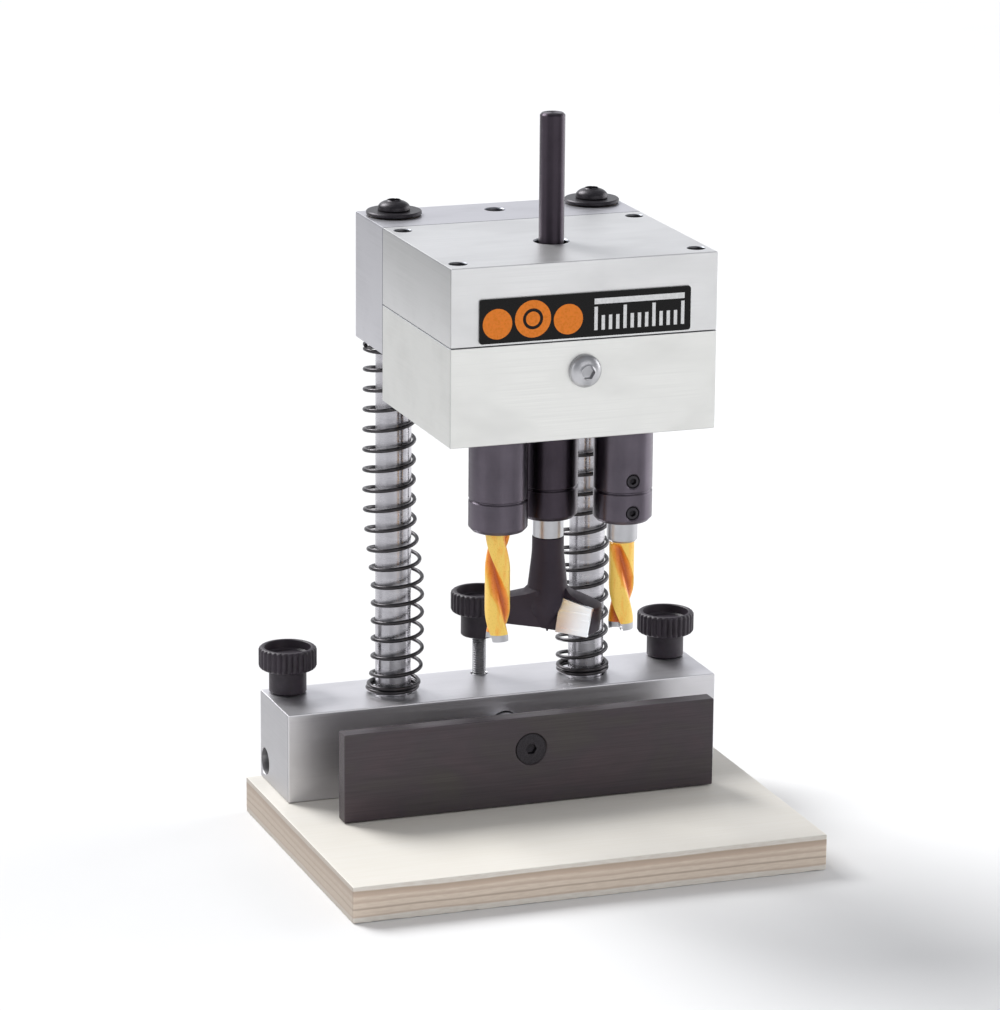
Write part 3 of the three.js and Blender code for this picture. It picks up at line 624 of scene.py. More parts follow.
def burnished_plate():
    paint = Paint("burnished_plate", (0.06, 0.048, 0.053), 0.42, 0.65)
    clouds = paint.noise((0.035, 1, 0.05), detail=3, distortion=0.6)
    plum, violet, umber = (0.095, 0.073, 0.082), (0.082, 0.069, 0.077), (0.086, 0.078, 0.075)
    tint = paint.ramp(clouds, [(0.32, plum), (0.5, violet), (0.68, umber)])
    strokes = paint.noise((0.06, 1.5, 3.0), detail=4)
    paint.color(paint.mix(paint.remap(strokes, 0.0, 0.35), tint, (0.05, 0.04, 0.045)))
    paint.roughness(paint.remap(strokes, 0.36, 0.5))
    paint.bump(strokes, 0.006, 0.5)
    return paint.material


def orange_coating():
    """A glossy orange slip coating, with painted light in its colour: painted shade, darker and redder,
    down in the flutes, and a painted yellow highlight on the lands.
    """
    paint = Paint("orange_coating", (0.9, 0.42, 0.07), 0.3, 0.1, Coat_Weight=0.1, Coat_Roughness=0.12)
    flow = paint.noise((0.5, 0.5, 0.12), detail=2)
    # Painted light: by distance from the axis the colour runs from painted shade, dark red, in the flutes to
    # a painted yellow highlight on the lands.
    depth = paint.remap(paint.distance_from_axis(), 0.0, 1.0, DRILL["web"], DRILL["radius"])
    level = paint.math("ADD", depth, paint.remap(flow, -0.12, 0.12))
    red, orange = (0.54, 0.11, 0.013), (0.88, 0.25, 0.022)
    amber, yellow = (1.0, 0.45, 0.05), (1.0, 0.66, 0.125)
    paint.color(paint.ramp(level, [(0.05, red), (0.5, orange), (0.85, amber), (1.0, yellow)]))
    fine = paint.noise(scale=2.5, detail=3)
    paint.roughness(paint.remap(fine, 0.24, 0.38))
    paint.bump(fine, 0.006, 0.3)
    return paint.material


def plywood():
    """Birch plywood: a pale face veneer, and crossed plies that show as bands on the edges."""
    paint = Paint("birch_plywood", (0.76, 0.72, 0.65), 0.55, 0.0)
    grain = paint.noise((0.045, 1.1, 1.1), detail=5, roughness=0.6, distortion=0.25)
    patches = paint.noise((0.02, 0.06, 0.06), detail=2)
    level = paint.mix(paint.remap(patches, 0.35, 0.75), patches, grain)
    straw, cream, white = (0.735, 0.70, 0.63), (0.76, 0.73, 0.67), (0.775, 0.75, 0.70)
    face = paint.ramp(level, [(0.25, straw), (0.5, cream), (0.75, white)])
    wander = paint.noise((0.03, 0.03, 0.2), detail=2)
    height = paint.math("ADD", paint.height(), paint.remap(wander, -0.25, 0.25))
    share = paint.remap(height, 0.0, 1.0, -6.0, 6.0)
    pale = (0.86, 0.82, 0.75)
    brown = (0.52, 0.40, 0.31)
    tan = (0.66, 0.52, 0.41)
    warm = (0.84, 0.72, 0.60)
    bands = [
        (0, pale), (0.15, pale), (0.19, tan), (0.23, warm), (0.36, warm), (0.39, brown), (0.44, warm),
        (0.53, warm), (0.57, tan), (0.68, warm), (0.74, tan), (0.86, brown), (0.89, pale), (1, pale),
    ]
    edge = paint.ramp(share, bands)
    fibres = paint.noise((0.3, 0.3, 2.0), detail=4)
    edge = paint.mix(paint.remap(fibres, 0.0, 0.3), edge, brown)
    # Painted shade: the edges that look along X are darkened.
    edge = paint.mix(paint.math("MULTIPLY", paint.side_factor(), 0.65), edge, (0.24, 0.2, 0.165))
    flat = paint.math("GREATER_THAN", paint.absolute(paint.normal()["Z"]), 0.7)
    paint.color(paint.mix(flat, edge, face))
    paint.roughness(paint.remap(grain, 0.62, 0.5))
    paint.bump(paint.mix(flat, fibres, grain), 0.02, 0.3)
    return paint.material


def glossy_ink(name, color):
    paint = Paint(name, color, 0.28, 0.0, Specular_IOR_Level=0.2)
    grain = paint.noise(scale=1.2, detail=3)
    paint.color(paint.ramp(grain, [(0.3, tuple(c * 0.85 for c in color)), (0.7, color)]))
    paint.roughness(paint.remap(grain, 0.24, 0.34))
    return paint.material


GUNMETAL = {"roughness": 0.38, "depth": 0.004, "shade": 0.82, "grind": 0.85}
MATERIALS = {
    # The milled aluminium looks are copies of one finish in different shades. The cover's darker colour is
    # painted shade on the upper block; the guide's copy is darker and bluer. Each one's end shades paint
    # shade on its faces that look along X.
    "head": aluminium("milled_aluminium_head", "lower_housing", (0.84, 0.84, 0.815), (0.8, 0.76)),
    "cover": aluminium("milled_aluminium_cover", "upper_housing", (0.79, 0.79, 0.79), (0.78, 0.5)),
    "guide": aluminium("milled_aluminium_guide", "guide_block", (0.66, 0.655, 0.69), (0.86, 0.66)),
    "base": aluminium("milled_aluminium_base", "base_block", (0.80, 0.79, 0.815), (0.62, 0.56), edge=0.0),
    "chrome": turned_metal(
        "polished_steel", (0.51, 0.50, 0.53), 0.26, rings=0.5, depth=0.0001, shade=0.97, grind=0.88
    ),
    "stud": turned_metal("stud_steel", (0.3, 0.3, 0.31), 0.42, rings=0.5),
    "steel": turned_metal("bright_steel", (0.56, 0.56, 0.58), 0.34, grind=0.3),
    "gunmetal": turned_metal("gunmetal_steel", (0.14, 0.122, 0.148), **GUNMETAL),
    # A darker copy of the same gunmetal steel, for the drive spindle: painted shade on its shank.
    "dark_gunmetal": turned_metal("drive_gunmetal", (0.066, 0.054, 0.068), **GUNMETAL),
    "wire": turned_metal("spring_steel", (0.07, 0.066, 0.07), 0.3, rings=1.0),
    "cutter": turned_metal(
        "cutter_black", (0.038, 0.028, 0.04), 0.5, rings=1.5, metallic=0.2, Specular_IOR_Level=0.25
    ),
    "carbide": turned_metal("ground_carbide", (0.94, 0.97, 1.0), 0.3, rings=2.0, depth=0.0005, shade=0.96),
    "bronze": turned_metal("bronze", (0.56, 0.34, 0.15), 0.32),
    "oxide": black_oxide(),
    "plastic": black_plastic(),
    "plate": burnished_plate(),
    "orange": orange_coating(),
    "plywood": plywood(),
    "ink_black": glossy_ink("label_black", (0.002, 0.0017, 0.0018)),
    "ink_orange": glossy_ink("label_orange", (0.86, 0.23, 0.02)),
    "ink_white": glossy_ink("label_white", (0.82, 0.82, 0.82)),
}

# The record's slot for each look.
SLOTS = {
    "chrome": "polished_steel",
    "wire": "spring_steel",
    "cutter": "cutter_black",
    "bronze": "bronze",
    "oxide": "black_oxide",
    "plastic": "black_plastic",
    "plate": "burnished_plate",
    "plywood": "birch_plywood",
    **dict.fromkeys(("head", "cover", "guide", "base"), "milled_aluminium"),
    **dict.fromkeys(("stud", "steel"), "bright_steel"),
    **dict.fromkeys(("gunmetal", "dark_gunmetal"), "gunmetal_steel"),
}


def part(node, made, body, look, at):
    """The piece that stands for one CAD node, in one of the looks above."""
    return piece(f"{node}_visual", made, body, MATERIALS[look], [node], at)


# ---------------------------------------------------------------- stand


def add_board():
    """The board, with its lower edges a little torn by the saw."""
    low, high = corners_of("plywood_board")
    half = (high - low) / 2
    centre = (high + low) / 2
    made = block(-half, half, BOARD["edge"])
    step = (high.x - low.x) / BOARD["pieces"]
    for axis, length in ((0, high.x - low.x), (1, high.y - low.y)):
        for i in range(1, int(length / step)):
            place = Vector((0, 0, 0))
            place[axis] = -length / 2 + i * step
            normal = Vector((0, 0, 0))
            normal[axis] = 1
            whole = made.verts[:] + made.edges[:] + made.faces[:]
            bmesh.ops.bisect_plane(made, geom=whole, plane_co=place, plane_no=normal)
    for vert in made.verts:
        above = vert.co.z + half.z
        on_edge = min(abs(abs(vert.co[axis]) - half[axis]) for axis in (0, 1)) < TEAR["reach"]
        if above < TEAR["height"] and on_edge:
            torn = noise.noise(Vector((vert.co.x * TEAR["scale"], vert.co.y * TEAR["scale"], TEAR["slice"])))
            vert.co.z += TEAR["depth"] * max(0.0, torn + TEAR["share"])
    part("plywood_board", carve(made, *holes("plywood_board")), "stand", "plywood", centre)


def add_base():
    half, centre = box_of("base_block")
    bore_y = box_of("left_knob")[1].y - centre.y
    bore_z = SIDE_BORE["height"] - half.z
    bores = [
        drilled((sign * half.x, bore_y, bore_z), face, SIDE_BORE["radius"], SIDE_BORE["depth"])
        for sign, face in ((-1, "-x"), (1, "+x"))
    ]
    base = carve(block(-half, half, 0.6), *holes("base_block"), *bores)
    part("base_block", base, "stand", "base", centre)


def add_column(side):
    x, y, bottom, top = axis_of(f"{side}_column")
    radius = box_of(f"{side}_column")[0].x
    length = top - bottom
    inner = radius - 0.5
    corners = [(0, 0), (inner, 0), (radius, 0.5), (radius, length - 0.5), (inner, length), (0, length)]
    bar = carve(
        turned(corners, 0.15, 96),
        drilled((0, 0, length), "+z", TAPPED_RADIUS, 18, 0.4),
        drilled((0, 0, 0), "-z", TAPPED_RADIUS, 15, 0.4),
    )
    part(f"{side}_column", bar, "stand", "chrome", (x, y, bottom))


def between(points, place):
    """The value at a place along a row of (place, value) points, with a smooth change between them."""
    for (start, first), (end, second) in zip(points, points[1:]):
        if place <= end:
            t = min(max((place - start) / (end - start), 0.0), 1.0)
            return first + (second - first) * t * t * (3 - 2 * t)
    return points[-1][1]


def add_spring(side):
    """A round-wire spring with closed ends that are ground flat. It bows a little, as a loose spring does."""
    x, y, bottom, top = axis_of(f"{side}_spring")
    wire = SPRING["wire_radius"]
    foot_turns = SPRING["foot_turns"]
    live_turns = SPRING["live_turns"]
    dead_turns = foot_turns + SPRING["head_turns"]
    length = top - bottom
    live_run = length - 2 * wire - dead_turns * SPRING["dead_pitch"]
    closer = CLOSER_COILS["turns"]
    share = CLOSER_COILS["pitch_share"]
    pitch = live_run / (live_turns - closer * (1 - share))
    steps_per_turn = 44
    sides = 14
    rings = []
    for i in range(int((dead_turns + live_turns) * steps_per_turn) + 1):
        turn = i / steps_per_turn
        dead = min(turn, foot_turns) + max(turn - foot_turns - live_turns, 0)
        live = turn - dead
        height = wire + dead * SPRING["dead_pitch"] + pitch * (live - (1 - share) * min(live, closer))
        outward = Vector((math.cos(TURN * turn), math.sin(TURN * turn), 0))
        sideways = BOW_DIRECTION * between(SPRING_BOW[side], height / length)
        ring = []
        for j in range(sides):
            angle = TURN * j / sides
            point = outward * (SPRING["mean_radius"] + wire * math.cos(angle)) + sideways
            point.z = min(max(height + wire * math.sin(angle), 0.0), length)
            ring.append(point)
        rings.append(ring)
    coil = part(f"{side}_spring", loft(rings), "stand", "wire", (x, y, bottom))
    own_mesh(coil)


def button_screw(length):
    """A button-head socket screw that stands on its tip, with its domed head at the top."""
    radius = BUTTON_HEAD["radius"]
    height = BUTTON_HEAD["height"]
    shank = BUTTON_HEAD["shank"]
    seat = length - height
    steps = [math.radians(degrees) for degrees in range(82, 24, -6)]
    dome = [(radius * math.sin(a), seat + 0.5 + (height - 0.5) * math.cos(a) ** 0.9) for a in steps]
    flat = dome[-1][0] - 0.3
    profile = [
        (0, 0), (shank - 0.5, 0), (shank, 0.5), (shank, seat), (radius - 0.2, seat), (radius, seat + 0.25),
        *dome, (flat, length), (0, length),
    ]
    return carve(lathe(profile), hexagon(BUTTON_HEAD["socket"], length - 2.2, length + 1))


def collar(height, inner, outer, chamfer):
    """A flat ring with chamfered outer edges."""
    lower = [(inner, 0), (outer - chamfer, 0), (outer, chamfer)]
    upper = [(radius, height - z) for radius, z in reversed(lower)]
    return lathe(lower + upper, 96, closed=True)


def cap_screw(length, softness, segments, shank, head, head_height, socket, socket_depth):
    """A cap screw that stands on its tip, with its socket at the top."""
    seat = length - head_height
    corners = [(0, 0), (shank, 0), (shank, seat), (head, seat), (head, length), (0, length)]
    return carve(turned(corners, softness, segments), hexagon(socket, length - socket_depth, length + PAST))


def add_column_fasteners(side):
    x, y, bottom, top = axis_of(f"{side}_column_washer")
    part(f"{side}_column_washer", collar(top - bottom, **WASHER), "stand", "oxide", (x, y, bottom))
    x, y, bottom, top = axis_of(f"{side}_column_screw")
    part(f"{side}_column_screw", button_screw(top - bottom), "stand", "oxide", (x, y, bottom))
    x, y, bottom, top = axis_of(f"{side}_column_bolt")
    corners = [(0, 0), (4.6, 0), (5.0, 0.4), (5.0, 6.0), (2.9, 6.0), (2.9, top - bottom), (0, top - bottom)]
    bolt = carve(turned(corners, 0.2), moved(hexagon(2.9, -3.0, 1.0), tilt=TOWARDS["-z"]))
    part(f"{side}_column_bolt", bolt, "stand", "oxide", (x, y, bottom))


# ---------------------------------------------------------------- head


def add_case(node, look, fine_planes):
    """A block of the head, whose edges are nearly sharp where it meets the next one.

    A fine plane is an axis and a sign, for the side of the block that it lies on.
    """
    half, centre = box_of(node)
    planes = [(axis, sign * half[axis]) for axis, sign in fine_planes]
    part(node, carve(block(-half, half, EDGE["plain"], planes), *holes(node)), "head", look, centre)


def add_head_fasteners():
    for name in COVER_SCREWS:
        x, y, bottom, top = axis_of(name)
        part(name, cap_screw(top - bottom, 0.25, 48, **COVER_SCREW), "head", "oxide", (x, y, bottom))
    for side in SIDES:
        name = f"{side}_guide_bolt"
        half, centre = box_of(name)
        bolt = moved(cap_screw(half.y * 2, 0.35, 72, **GUIDE_BOLT), tilt=TOWARDS["+y"])
        part(name, bolt, "head", "oxide", centre - Vector((0, half.y, 0)))
        x, y, bottom, top = axis_of(f"{side}_guide_bush")
        part(f"{side}_guide_bush", collar(top - bottom, **BUSH), "head", "bronze", (x, y, bottom))
    half, centre = box_of("grease_plug_screw")
    plug = moved(button_screw(half.y * 2), tilt=TOWARDS["-y"])
    part("grease_plug_screw", plug, "head", "steel", centre + Vector((0, half.y, 0)))
    x, y, bottom, top = axis_of("depth_stop_screw")
    length = top - bottom
    pin = STOP_PIN_LENGTH
    screw = join(
        turned([(0, 0), (1.6, 0), (2.0, 0.4), (2.0, pin), (0, pin)], 0.1),
        carve(thread(2.95, 0.45, 1.0, pin, length), hexagon(1.7, length - 3, length + PAST)),
    )
    part("depth_stop_screw", screw, "head", "oxide", (x, y, bottom))


def slab(outline, front, thickness):
    """A thin plate in the XZ plane from an outline of (x, z) points, with its face at a Y."""
    rings = [[(x, y, z) for x, z in outline] for y in (front, front + thickness)]
    return loft(rings)


def circle(x, z, radius, steps=64):
    angles = [TURN * i / steps for i in range(steps)]
    return [(x + radius * math.cos(angle), z + radius * math.sin(angle)) for angle in angles]


def rectangle(x, z, width, height):
    return [(x, z), (x + width, z), (x + width, z + height), (x, z + height)]


def ring_slab(x, z, outer, inner, front, thickness):
    profile = [(inner, 0), (outer, 0), (outer, thickness), (inner, thickness)]
    return moved(lathe(profile, 72, closed=True), (x, front + thickness, z), tilt=TOWARDS["-y"])


def add_label():
    """A black plate with a drawing of the boring pattern: a cup, two dowel holes and a scale."""
    half, centre = box_of("label_plate")
    width, depth, height = half * 2
    centre.y += half.y
    radius = LABEL["corner"]
    outline = []
    for quarter, (sx, sz) in enumerate(((1, 1), (-1, 1), (-1, -1), (1, -1))):
        for step in range(7):
            angle = TURN / 4 * (quarter + step / 6)
            x = sx * (width / 2 - radius) + radius * math.cos(angle)
            z = sz * (height / 2 - radius) + radius * math.sin(angle)
            outline.append((x, z))
    ink = LABEL["ink"]
    plate = slab(outline, ink - depth, depth - ink)
    piece("label_plate_visual", plate, "head", MATERIALS["ink_black"], ["label_plate"], centre)
    printed = {"front": -depth, "thickness": ink + 0.01}
    cup_x = -width * 0.25
    core = circle(cup_x, 0, LABEL["core"])
    pattern = [ring_slab(cup_x, 0, *LABEL["cup"], **printed), slab(core, **printed)]
    for offset in (-LABEL["reach"], LABEL["reach"]):
        pattern.append(slab(circle(cup_x + offset, -LABEL["drop"], LABEL["dowel"]), **printed))
    piece("label_pattern_orange", join(*pattern), "head", MATERIALS["ink_orange"], at=centre)
    start = width * 0.04
    marks = []
    for i in range(SCALE["ticks"]):
        tall = SCALE["tall"] if i % 4 == 0 else SCALE["short"]
        marks.append(rectangle(start + i * SCALE["pitch"], SCALE["foot"], SCALE["tick_width"], tall))
    marks.append(rectangle(start, SCALE_BAR["foot"], SCALE_BAR["length"], SCALE_BAR["height"]))
    scale = join(*[slab(mark, **printed) for mark in marks])
    piece("label_scale_white", scale, "head", MATERIALS["ink_white"], at=centre)


# ---------------------------------------------------------------- spindles


def add_spindle(name):
    x, y, bottom, top = axis_of(f"{name}_spindle")
    body = f"{name}_spindle_set"
    radius = box_of(f"{name}_spindle")[0].x
    neck = HOLDER["neck"]
    holder_top = corners_of("lower_housing")[0].z - 0.7 - bottom
    neck_top = corners_of(f"{name}_lower_bearing")[0].z - 0.3 - bottom
    groove = HOLDER["groove_height"]
    depth = HOLDER["groove_depth"]
    length = top - bottom
    corners = [
        (0, 0), (radius - HOLDER["chamfer"], 0, 0.15), (radius, HOLDER["chamfer"] * 1.1, 0.15),
        (radius, groove - depth, 0.1), (radius - depth, groove - 0.15, 0.1),
        (radius - depth, groove + 0.15, 0.1), (radius, groove + depth, 0.1),
        (radius, holder_top, 0.5), (neck, holder_top, 0.1), (neck, neck_top, 0.1),
        (SEAT_RADIUS, neck_top, 0.1),
    ]
    if name == "drive":
        seat_top = corners_of("left_spindle")[1].z - bottom
        shank = DRIVE_SHANK["radius"]
        corners += [
            (SEAT_RADIUS, seat_top), (shank, seat_top, 0.1), (shank, length - 0.7, 0.2),
            (shank - DRIVE_SHANK["chamfer"], length, 0.2), (0, length),
        ]
    else:
        corners += [(SEAT_RADIUS, length, 0.4), (0, length)]
    tools = [drilled((0, 0, 0), "-z", HOLDER["bore"], HOLDER["bore_depth"], 0.3, 64)]
    angle = HOLDER_ANGLES[name]
    for height in HOLDER["set_screw_heights"]:
        mouth = (radius, 0, height)
        socket = drilled(mouth, "+x", SET_SCREW["hole"], SET_SCREW["hole_depth"], 0.45, 40)
        tools.append(moved(socket, turn=angle))
    holder = carve(turned(corners, 0.2, 96), *tools)
    look = "dark_gunmetal" if name == "drive" else "gunmetal"
    part(f"{name}_spindle", holder, body, look, (x, y, bottom))
    start = SET_SCREW["start"]
    end = radius - SET_SCREW["inset"]
    grub_radius = SET_SCREW["radius"]
    for level, height in zip(("lower", "upper"), HOLDER["set_screw_heights"]):
        grub = turned([(0, start), (grub_radius, start), (grub_radius, end), (0, end)], 0.3, 40)
        grub = moved(carve(grub, hexagon(SET_SCREW["socket"], end - 1.8, end + PAST)), tilt=TOWARDS["+x"])
        part(f"{name}_{level}_set_screw", moved(grub, turn=angle), body, "oxide", (x, y, bottom + height))


def add_bearing(node, body):
    """A shielded ball bearing: two races with a recessed shield between them."""
    x, y, bottom, top = axis_of(node)
    outer = box_of(node)[0].x
    inner = SEAT_RADIUS + 0.2
    step = 0.35
    lower = [
        (inner, 0.3), (inner + 0.3, 0), (inner + 1.6, 0), (inner + 1.6, step),
        (outer - 1.5, step), (outer - 1.5, 0), (outer - 0.3, 0), (outer, 0.3),
    ]
    upper = [(radius, top - bottom - height) for radius, height in reversed(lower)]
    part(node, lathe(lower + upper, 72, closed=True), body, "steel", (x, y, bottom))


def drill_section(angle):
    """A two-flute drill's radius at an angle, as a share from web (0) to land (1)."""
    half_turn = angle % math.pi
    land = math.radians(DRILL["land"])
    if half_turn < land:
        return 1.0
    t = (half_turn - land) / (math.pi - land)
    return 1 - max(math.sin(math.pi * t ** 1.7), 0.0) ** 0.8


def drill_ring(side, z, scale=1.0, fill=0.0, spur=0.0):
    """The drill's outline at a height above its tip. Fill closes the flutes. Spur pulls the lands down."""
    points = 112
    ring = []
    for i in range(points):
        angle = TURN * i / points
        share = drill_section(angle)
        share += (1 - share) * fill
        radius = (DRILL["web"] + (DRILL["radius"] - DRILL["web"]) * share) * scale
        turn = angle - DRILL["twist_per_mm"] * z + math.radians(DRILL_TURN[side])
        drop = spur * max(0.0, share - 0.6)
        ring.append((radius * math.cos(turn), radius * math.sin(turn), z - drop))
    return ring


def add_drill(side):
    """A left-hand dowel drill with a ground centre point and two spurs, on a plain shank."""
    node = f"{side}_drill"
    body = f"{side}_spindle_set"
    x, y, tip, shank_top = axis_of(node)
    holder_bottom = corners_of(f"{side}_spindle")[0].z
    flute_top = (holder_bottom - 0.5 if side == "left" else holder_bottom - 7.2) - tip
    face = DRILL["face"]
    coating = face + DRILL["ground_tip"]
    point = [(0.0, 0.02), (0.7, 0.08), (1.7, 0.24), (face + 0.5, 0.3), (face + 0.4, 0.6)]
    spurs = [(face, 0.86, 0.4), (face - 0.3, 0.97, 1.6), (face + 0.5, 0.99, 0.0), (coating, 0.99, 0.0)]
    rings = [drill_ring(side, z, scale) for z, scale in point]
    rings += [drill_ring(side, z, scale, spur=spur) for z, scale, spur in spurs]
    steel = MATERIALS["steel"]
    piece(f"{node}_tip_visual", loft(rings), body, steel, at=(x, y, tip))
    steps = 60
    rings = []
    for i in range(steps + 1):
        z = coating + (flute_top - coating) * i / steps
        runout = max(0.0, 1 - (flute_top - z) / DRILL["runout"])
        rings.append(drill_ring(side, z, fill=runout ** 2))
    coated = MATERIALS["orange"]
    piece(f"{node}_flutes_visual", loft(rings), body, coated, [node], (x, y, tip))
    length = shank_top - tip - flute_top
    wide = BIT_SHANK_RADIUS
    shank = turned([(0, 0), (wide - 0.8, 0), (wide, 0.8), (wide, length), (0, length)], 0.15)
    place = (x, y, tip + flute_top + GAP)
    piece(f"{node}_shank_visual", shank, body, steel, at=place)


def cutter_lean(z):
    """How far the cutter's wings lean forward at a height, so that their lower edges lead."""
    return -CUTTER_LEAN * (CUTTER["wing_top"] - z)


def cutter_wing(envelope):
    """One wing, with its straight leading face along +X."""
    radius = CUTTER["radius"] + 1
    foot = CUTTER_STEM["foot"]

    def polar(r, degrees):
        angle = math.radians(degrees)
        return Vector((r * math.cos(angle), r * math.sin(angle)))

    outline = [Vector((0, 0))]
    outline += [polar(radius, degrees) for degrees in range(0, 31, 3)]
    start = polar(radius, 30)
    bend = polar(radius * 0.7, 42)
    end = polar(foot, 95)
    steps = 12
    for i in range(1, steps + 1):
        t = i / steps
        outline.append(start * (1 - t) ** 2 + bend * 2 * t * (1 - t) + end * t * t)
    outline.append(polar(foot * 0.6, 150))
    heights = (CUTTER["face"] - 1, CUTTER["wing_top"] + 2)
    wing = loft([[(p.x, p.y + cutter_lean(z), z) for p in outline] for z in heights])
    return carve(wing, envelope, operation="INTERSECT")


def cutter_tip():
    """A carbide tip on the wing's leading face: a leaning plate whose top slopes down to the rim."""
    corners = [
        (5.4, CUTTER["face"] - 0.2),
        (CUTTER["radius"] - 0.5, CUTTER["face"] - 0.35),
        (CUTTER["radius"] - 0.1, CUTTER["rim_top"] + 0.1),
        (5.4, CUTTER["wing_top"] - 1.2),
    ]
    plate = loft([[(x, y + cutter_lean(z), z) for x, z in corners] for y in (-0.9, 0.3)])
    bmesh.ops.bevel(plate, geom=plate.edges[:], offset=0.1, segments=1, affect="EDGES")
    return plate


def add_cutter():
    """A two-winged cutter for hinge cups, with brazed carbide tips."""
    x, y, tip, shank_top = axis_of("hinge_cutter")
    body = "drive_spindle_set"
    radius = CUTTER["radius"]
    face = CUTTER["face"]
    wing_top = CUTTER["wing_top"]
    stem_top = CUTTER["stem_top"]
    foot = CUTTER_STEM["foot"]
    top = CUTTER_STEM["top"]
    profile = [
        (0, face), (radius - 1.2, face, 0), (radius, face + 0.3, 0.1), (radius, CUTTER["rim_top"] - 0.8, 0.3),
        (radius - 0.9, CUTTER["rim_top"], 0.5), (foot + 1.6, wing_top - 0.4, 1.2), (foot, wing_top + 1.4),
        (0, wing_top + 1.4),
    ]
    core = [
        (0, face), (CUTTER_STEM["core"], face), (foot, wing_top - 5, 3), (foot, wing_top, 2),
        (top, stem_top - 5, 3), (top, stem_top, 0.3), (0, stem_top),
    ]
    cutter = turned(core, 0.5)
    for turn in (0, 180):
        wing = moved(cutter_wing(turned(profile, segments=96)), turn=turn)
        cutter = carve(cutter, wing, operation="UNION")
    spike = lathe([(0, 0), (0.25, 0.2), (1.5, face + 1.2), (0, face + 1.2)], 4)
    cutter = moved(join(cutter, spike), turn=CUTTER["angle"])
    part("hinge_cutter", cutter, body, "cutter", (x, y, tip))
    length = shank_top - tip - stem_top
    shank = turned([(0, 0), (BIT_SHANK_RADIUS, 0), (BIT_SHANK_RADIUS, length), (0, length)], 0.3)
    place = (x, y, tip + stem_top + GAP)
    piece("hinge_cutter_shank_visual", shank, body, MATERIALS["steel"], at=place)
    tips = moved(join(cutter_tip(), moved(cutter_tip(), turn=180)), turn=CUTTER["angle"])
    piece("hinge_cutter_tips_visual", tips, body, MATERIALS["carbide"], at=(x, y, tip))


# ---------------------------------------------------------------- fence


def add_fence():
    half, centre = box_of("fence_plate")
    screw_half, screw_centre = box_of("fence_screw")
    sink = lathe([(0, -1), (6.5, -1), (3.2, PLATE_SCREW_CONE), (3.2, 8), (0, 8)], 72)
    sink = moved(sink, (0, -half.y, screw_centre.z - centre.z), tilt=TOWARDS["+y"])
    plate = carve(block(-half, half, 0.45), sink)
    part("fence_plate", plate, "fence", "plate", centre)

    length = screw_half.y * 2
    seat = length - PLATE_SCREW_CONE
    corners = [(0, 0), (2.9, 0), (2.9, seat), (5.1, length - 0.3), (5.1, length), (0, length)]
    screw = carve(turned(corners, 0.15), hexagon(1.95, length - 2.0, length + PAST))
    place = screw_centre + Vector((0, screw_half.y, 0))
    part("fence_screw", moved(screw, tilt=TOWARDS["-y"]), "fence", "oxide", place)

    half, centre = box_of("fence_rod")
    length = half.y * 2
    radius = half.x
    rod = carve(
        turned([(0, 0), (radius, 0), (radius, length - 0.8), (radius - 0.8, length), (0, length)], 0.2, 96),
        drilled((0, 0, 0), "-z", TAPPED_RADIUS, 14, 0.3),
    )
    part("fence_rod", moved(rod, tilt=TOWARDS["+y"]), "fence", "steel", centre - Vector((0, half.y, 0)))


# ---------------------------------------------------------------- clamps


def add_clamp(name):
    """A ribbed knob with a dished top, its threaded stud and its pad."""
    x, y, bottom, top = axis_of(f"{name}_knob")
    radius = box_of(f"{name}_knob")[0].x
    height = top - bottom
    floor = height - KNOB["dish"]
    hub = KNOB["hub"]
    hub_top = KNOB["hub_height"]
    dish = radius - KNOB["rim"]
    outline = [
        (2.7, 0.0, 0), (hub - 0.3, 0.0, 0), (hub, 0.3, 0), (hub, hub_top - 0.5, 0),
        (hub + 0.35, hub_top - 0.1, 0),
        (radius - 1.1, hub_top + 0.15, 0), (radius - 0.45, hub_top + 0.5, 0.35), (radius, hub_top + 1.2, 1),
        (radius, height - 0.95, 1), (radius - 0.12, height - 0.6, 0.9), (radius - 0.5, height - 0.22, 0.35),
        (radius - 0.85, height - 0.05, 0), (radius - 1.15, height, 0), (dish + 0.25, height, 0),
        (dish, height - 0.2, 0), (dish - 0.35, floor + 0.5, 0), (dish - 0.9, floor, 0), (2.9, floor, 0),
        (2.7, floor - 0.1, 0),
    ]
    points = KNOB["ribs"] * 8
    rings = []
    for r, z, rib in outline:
        ring = []
        for i in range(points):
            angle = TURN * i / points
            groove = (0.5 + 0.5 * math.cos(KNOB["ribs"] * angle)) ** 2.2
            reach = r - rib * KNOB["rib_depth"] * groove
            ring.append((reach * math.cos(angle), reach * math.sin(angle), z))
        rings.append(ring)
    part(f"{name}_knob", loft(rings), f"{name}_knob_set", "plastic", (x, y, bottom))
    x, y, stud_bottom, _ = axis_of(f"{name}_knob_stud")
    stud = thread(2.4, 0.36, 0.8, 0, bottom - stud_bottom - 0.02)
    part(f"{name}_knob_stud", stud, f"{name}_knob_set", "stud", (x, y, stud_bottom))
    x, y, pad_bottom, pad_top = axis_of(f"{name}_clamp_pad")
    pad_height = pad_top - pad_bottom
    pad = turned([(0, 0), (2.3, 0), (2.3, pad_height), (0, pad_height)], 0.4, 48)
    part(f"{name}_clamp_pad", pad, f"{name}_pad_set", "bronze", (x, y, pad_bottom))


# ---------------------------------------------------------------- studio


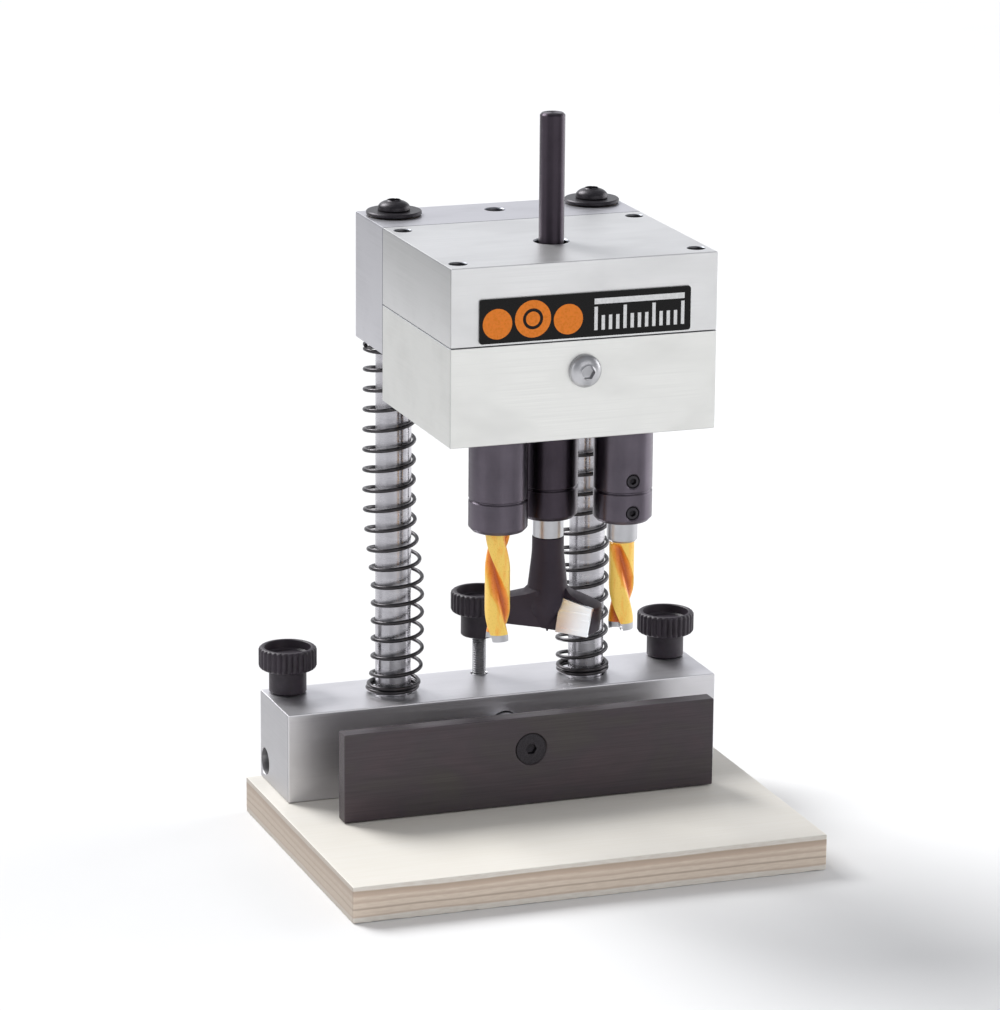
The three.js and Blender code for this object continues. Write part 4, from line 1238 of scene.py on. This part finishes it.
def add_camera():
    turn = math.radians(CAMERA["azimuth"])
    tilt = math.radians(CAMERA["elevation"])
    roll = math.radians(CAMERA["roll"])
    forward = Vector((math.sin(turn) * math.cos(tilt), math.cos(turn) * math.cos(tilt), -math.sin(tilt)))
    right = Vector((math.cos(turn), -math.sin(turn), 0))
    up = right.cross(forward)
    rolled_right = right * math.cos(roll) + up * math.sin(roll)
    rolled_up = up * math.cos(roll) - right * math.sin(roll)
    data = bpy.data.cameras.new("camera")
    data.lens = CAMERA["lens"]
    data.sensor_width = 36
    data.sensor_fit = "AUTO"
    camera = bpy.data.objects.new("camera", data)
    rotation = Matrix((rolled_right, rolled_up, -forward)).transposed().to_4x4()
    target = Vector(CAMERA["target"]) * MM
    camera.matrix_world = Matrix.Translation(target - forward * CAMERA["distance"] * MM) @ rotation
    bpy.context.scene.collection.objects.link(camera)
    bpy.context.scene.camera = camera


def add_area_light(name, place, aim, size, power, color=(1, 1, 1)):
    """A soft rectangular light that looks at the machine's axis, at a height above the floor."""
    data = bpy.data.lights.new(name, "AREA")
    data.shape = "RECTANGLE"
    data.size, data.size_y = size
    data.energy = power
    data.color = color
    light = bpy.data.objects.new(name, data)
    light.location = place
    light.rotation_euler = (Vector((0, 0, aim)) - Vector(place)).to_track_quat("-Z", "Y").to_euler()
    light.visible_camera = False
    bpy.context.scene.collection.objects.link(light)


def add_studio():
    floor_mesh = bpy.data.meshes.new("floor")
    made = bmesh.new()
    corners = ((-1, -1), (1, -1), (1, 1), (-1, 1))
    made.faces.new([made.verts.new((x * FLOOR_REACH, y * FLOOR_REACH, 0)) for x, y in corners])
    made.to_mesh(floor_mesh)
    made.free()
    floor = bpy.data.objects.new("floor", floor_mesh)
    bpy.context.scene.collection.objects.link(floor)
    paint = Paint("floor_paper", (0.78, 0.78, 0.78), 0.9)
    paper = paint.noise(scale=0.01, detail=3)
    paint.color(paint.ramp(paper, [(0.3, (0.77, 0.77, 0.77)), (0.7, (0.79, 0.79, 0.79))]))
    floor_mesh.materials.append(paint.material)

    world = bpy.data.worlds.new("studio")
    world.use_nodes = True
    background = world.node_tree.nodes["Background"]
    background.inputs["Color"].default_value = WORLD_LIGHT["color"]
    background.inputs["Strength"].default_value = WORLD_LIGHT["strength"]
    bpy.context.scene.world = world
    sun = bpy.data.lights.new("key", "SUN")
    sun.energy = SUN["strength"]
    sun.angle = math.radians(SUN["angle"])
    key = bpy.data.objects.new("key", sun)
    key.rotation_euler = Vector(SUN["direction"]).to_track_quat("-Z", "Y").to_euler()
    bpy.context.scene.collection.objects.link(key)
    for name, light in AREA_LIGHTS.items():
        add_area_light(name, **light)
    bpy.context.scene.view_settings.view_transform = "Standard"


# ---------------------------------------------------------------- making

add_camera()
add_studio()
add_board()
add_base()
for side in SIDES:
    add_column(side)
    add_spring(side)
    add_column_fasteners(side)
add_case("lower_housing", "head", [(2, 1), (1, 1)])
add_case("upper_housing", "cover", [(2, -1), (1, 1)])
add_case("guide_block", "guide", [(1, -1)])
add_head_fasteners()
add_label()
for spindle in SPINDLES:
    add_spindle(spindle)
    add_bearing(f"{spindle}_lower_bearing", "head")
    add_bearing(f"{spindle}_upper_bearing", "head")
for side in SIDES:
    add_drill(side)
add_cutter()
add_fence()
for clamp in CLAMPS:
    add_clamp(clamp)
for spindle in SPINDLES:
    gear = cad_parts[f"{spindle}_gear"]
    gear.data.materials.clear()
    gear.data.materials.append(MATERIALS["steel"])
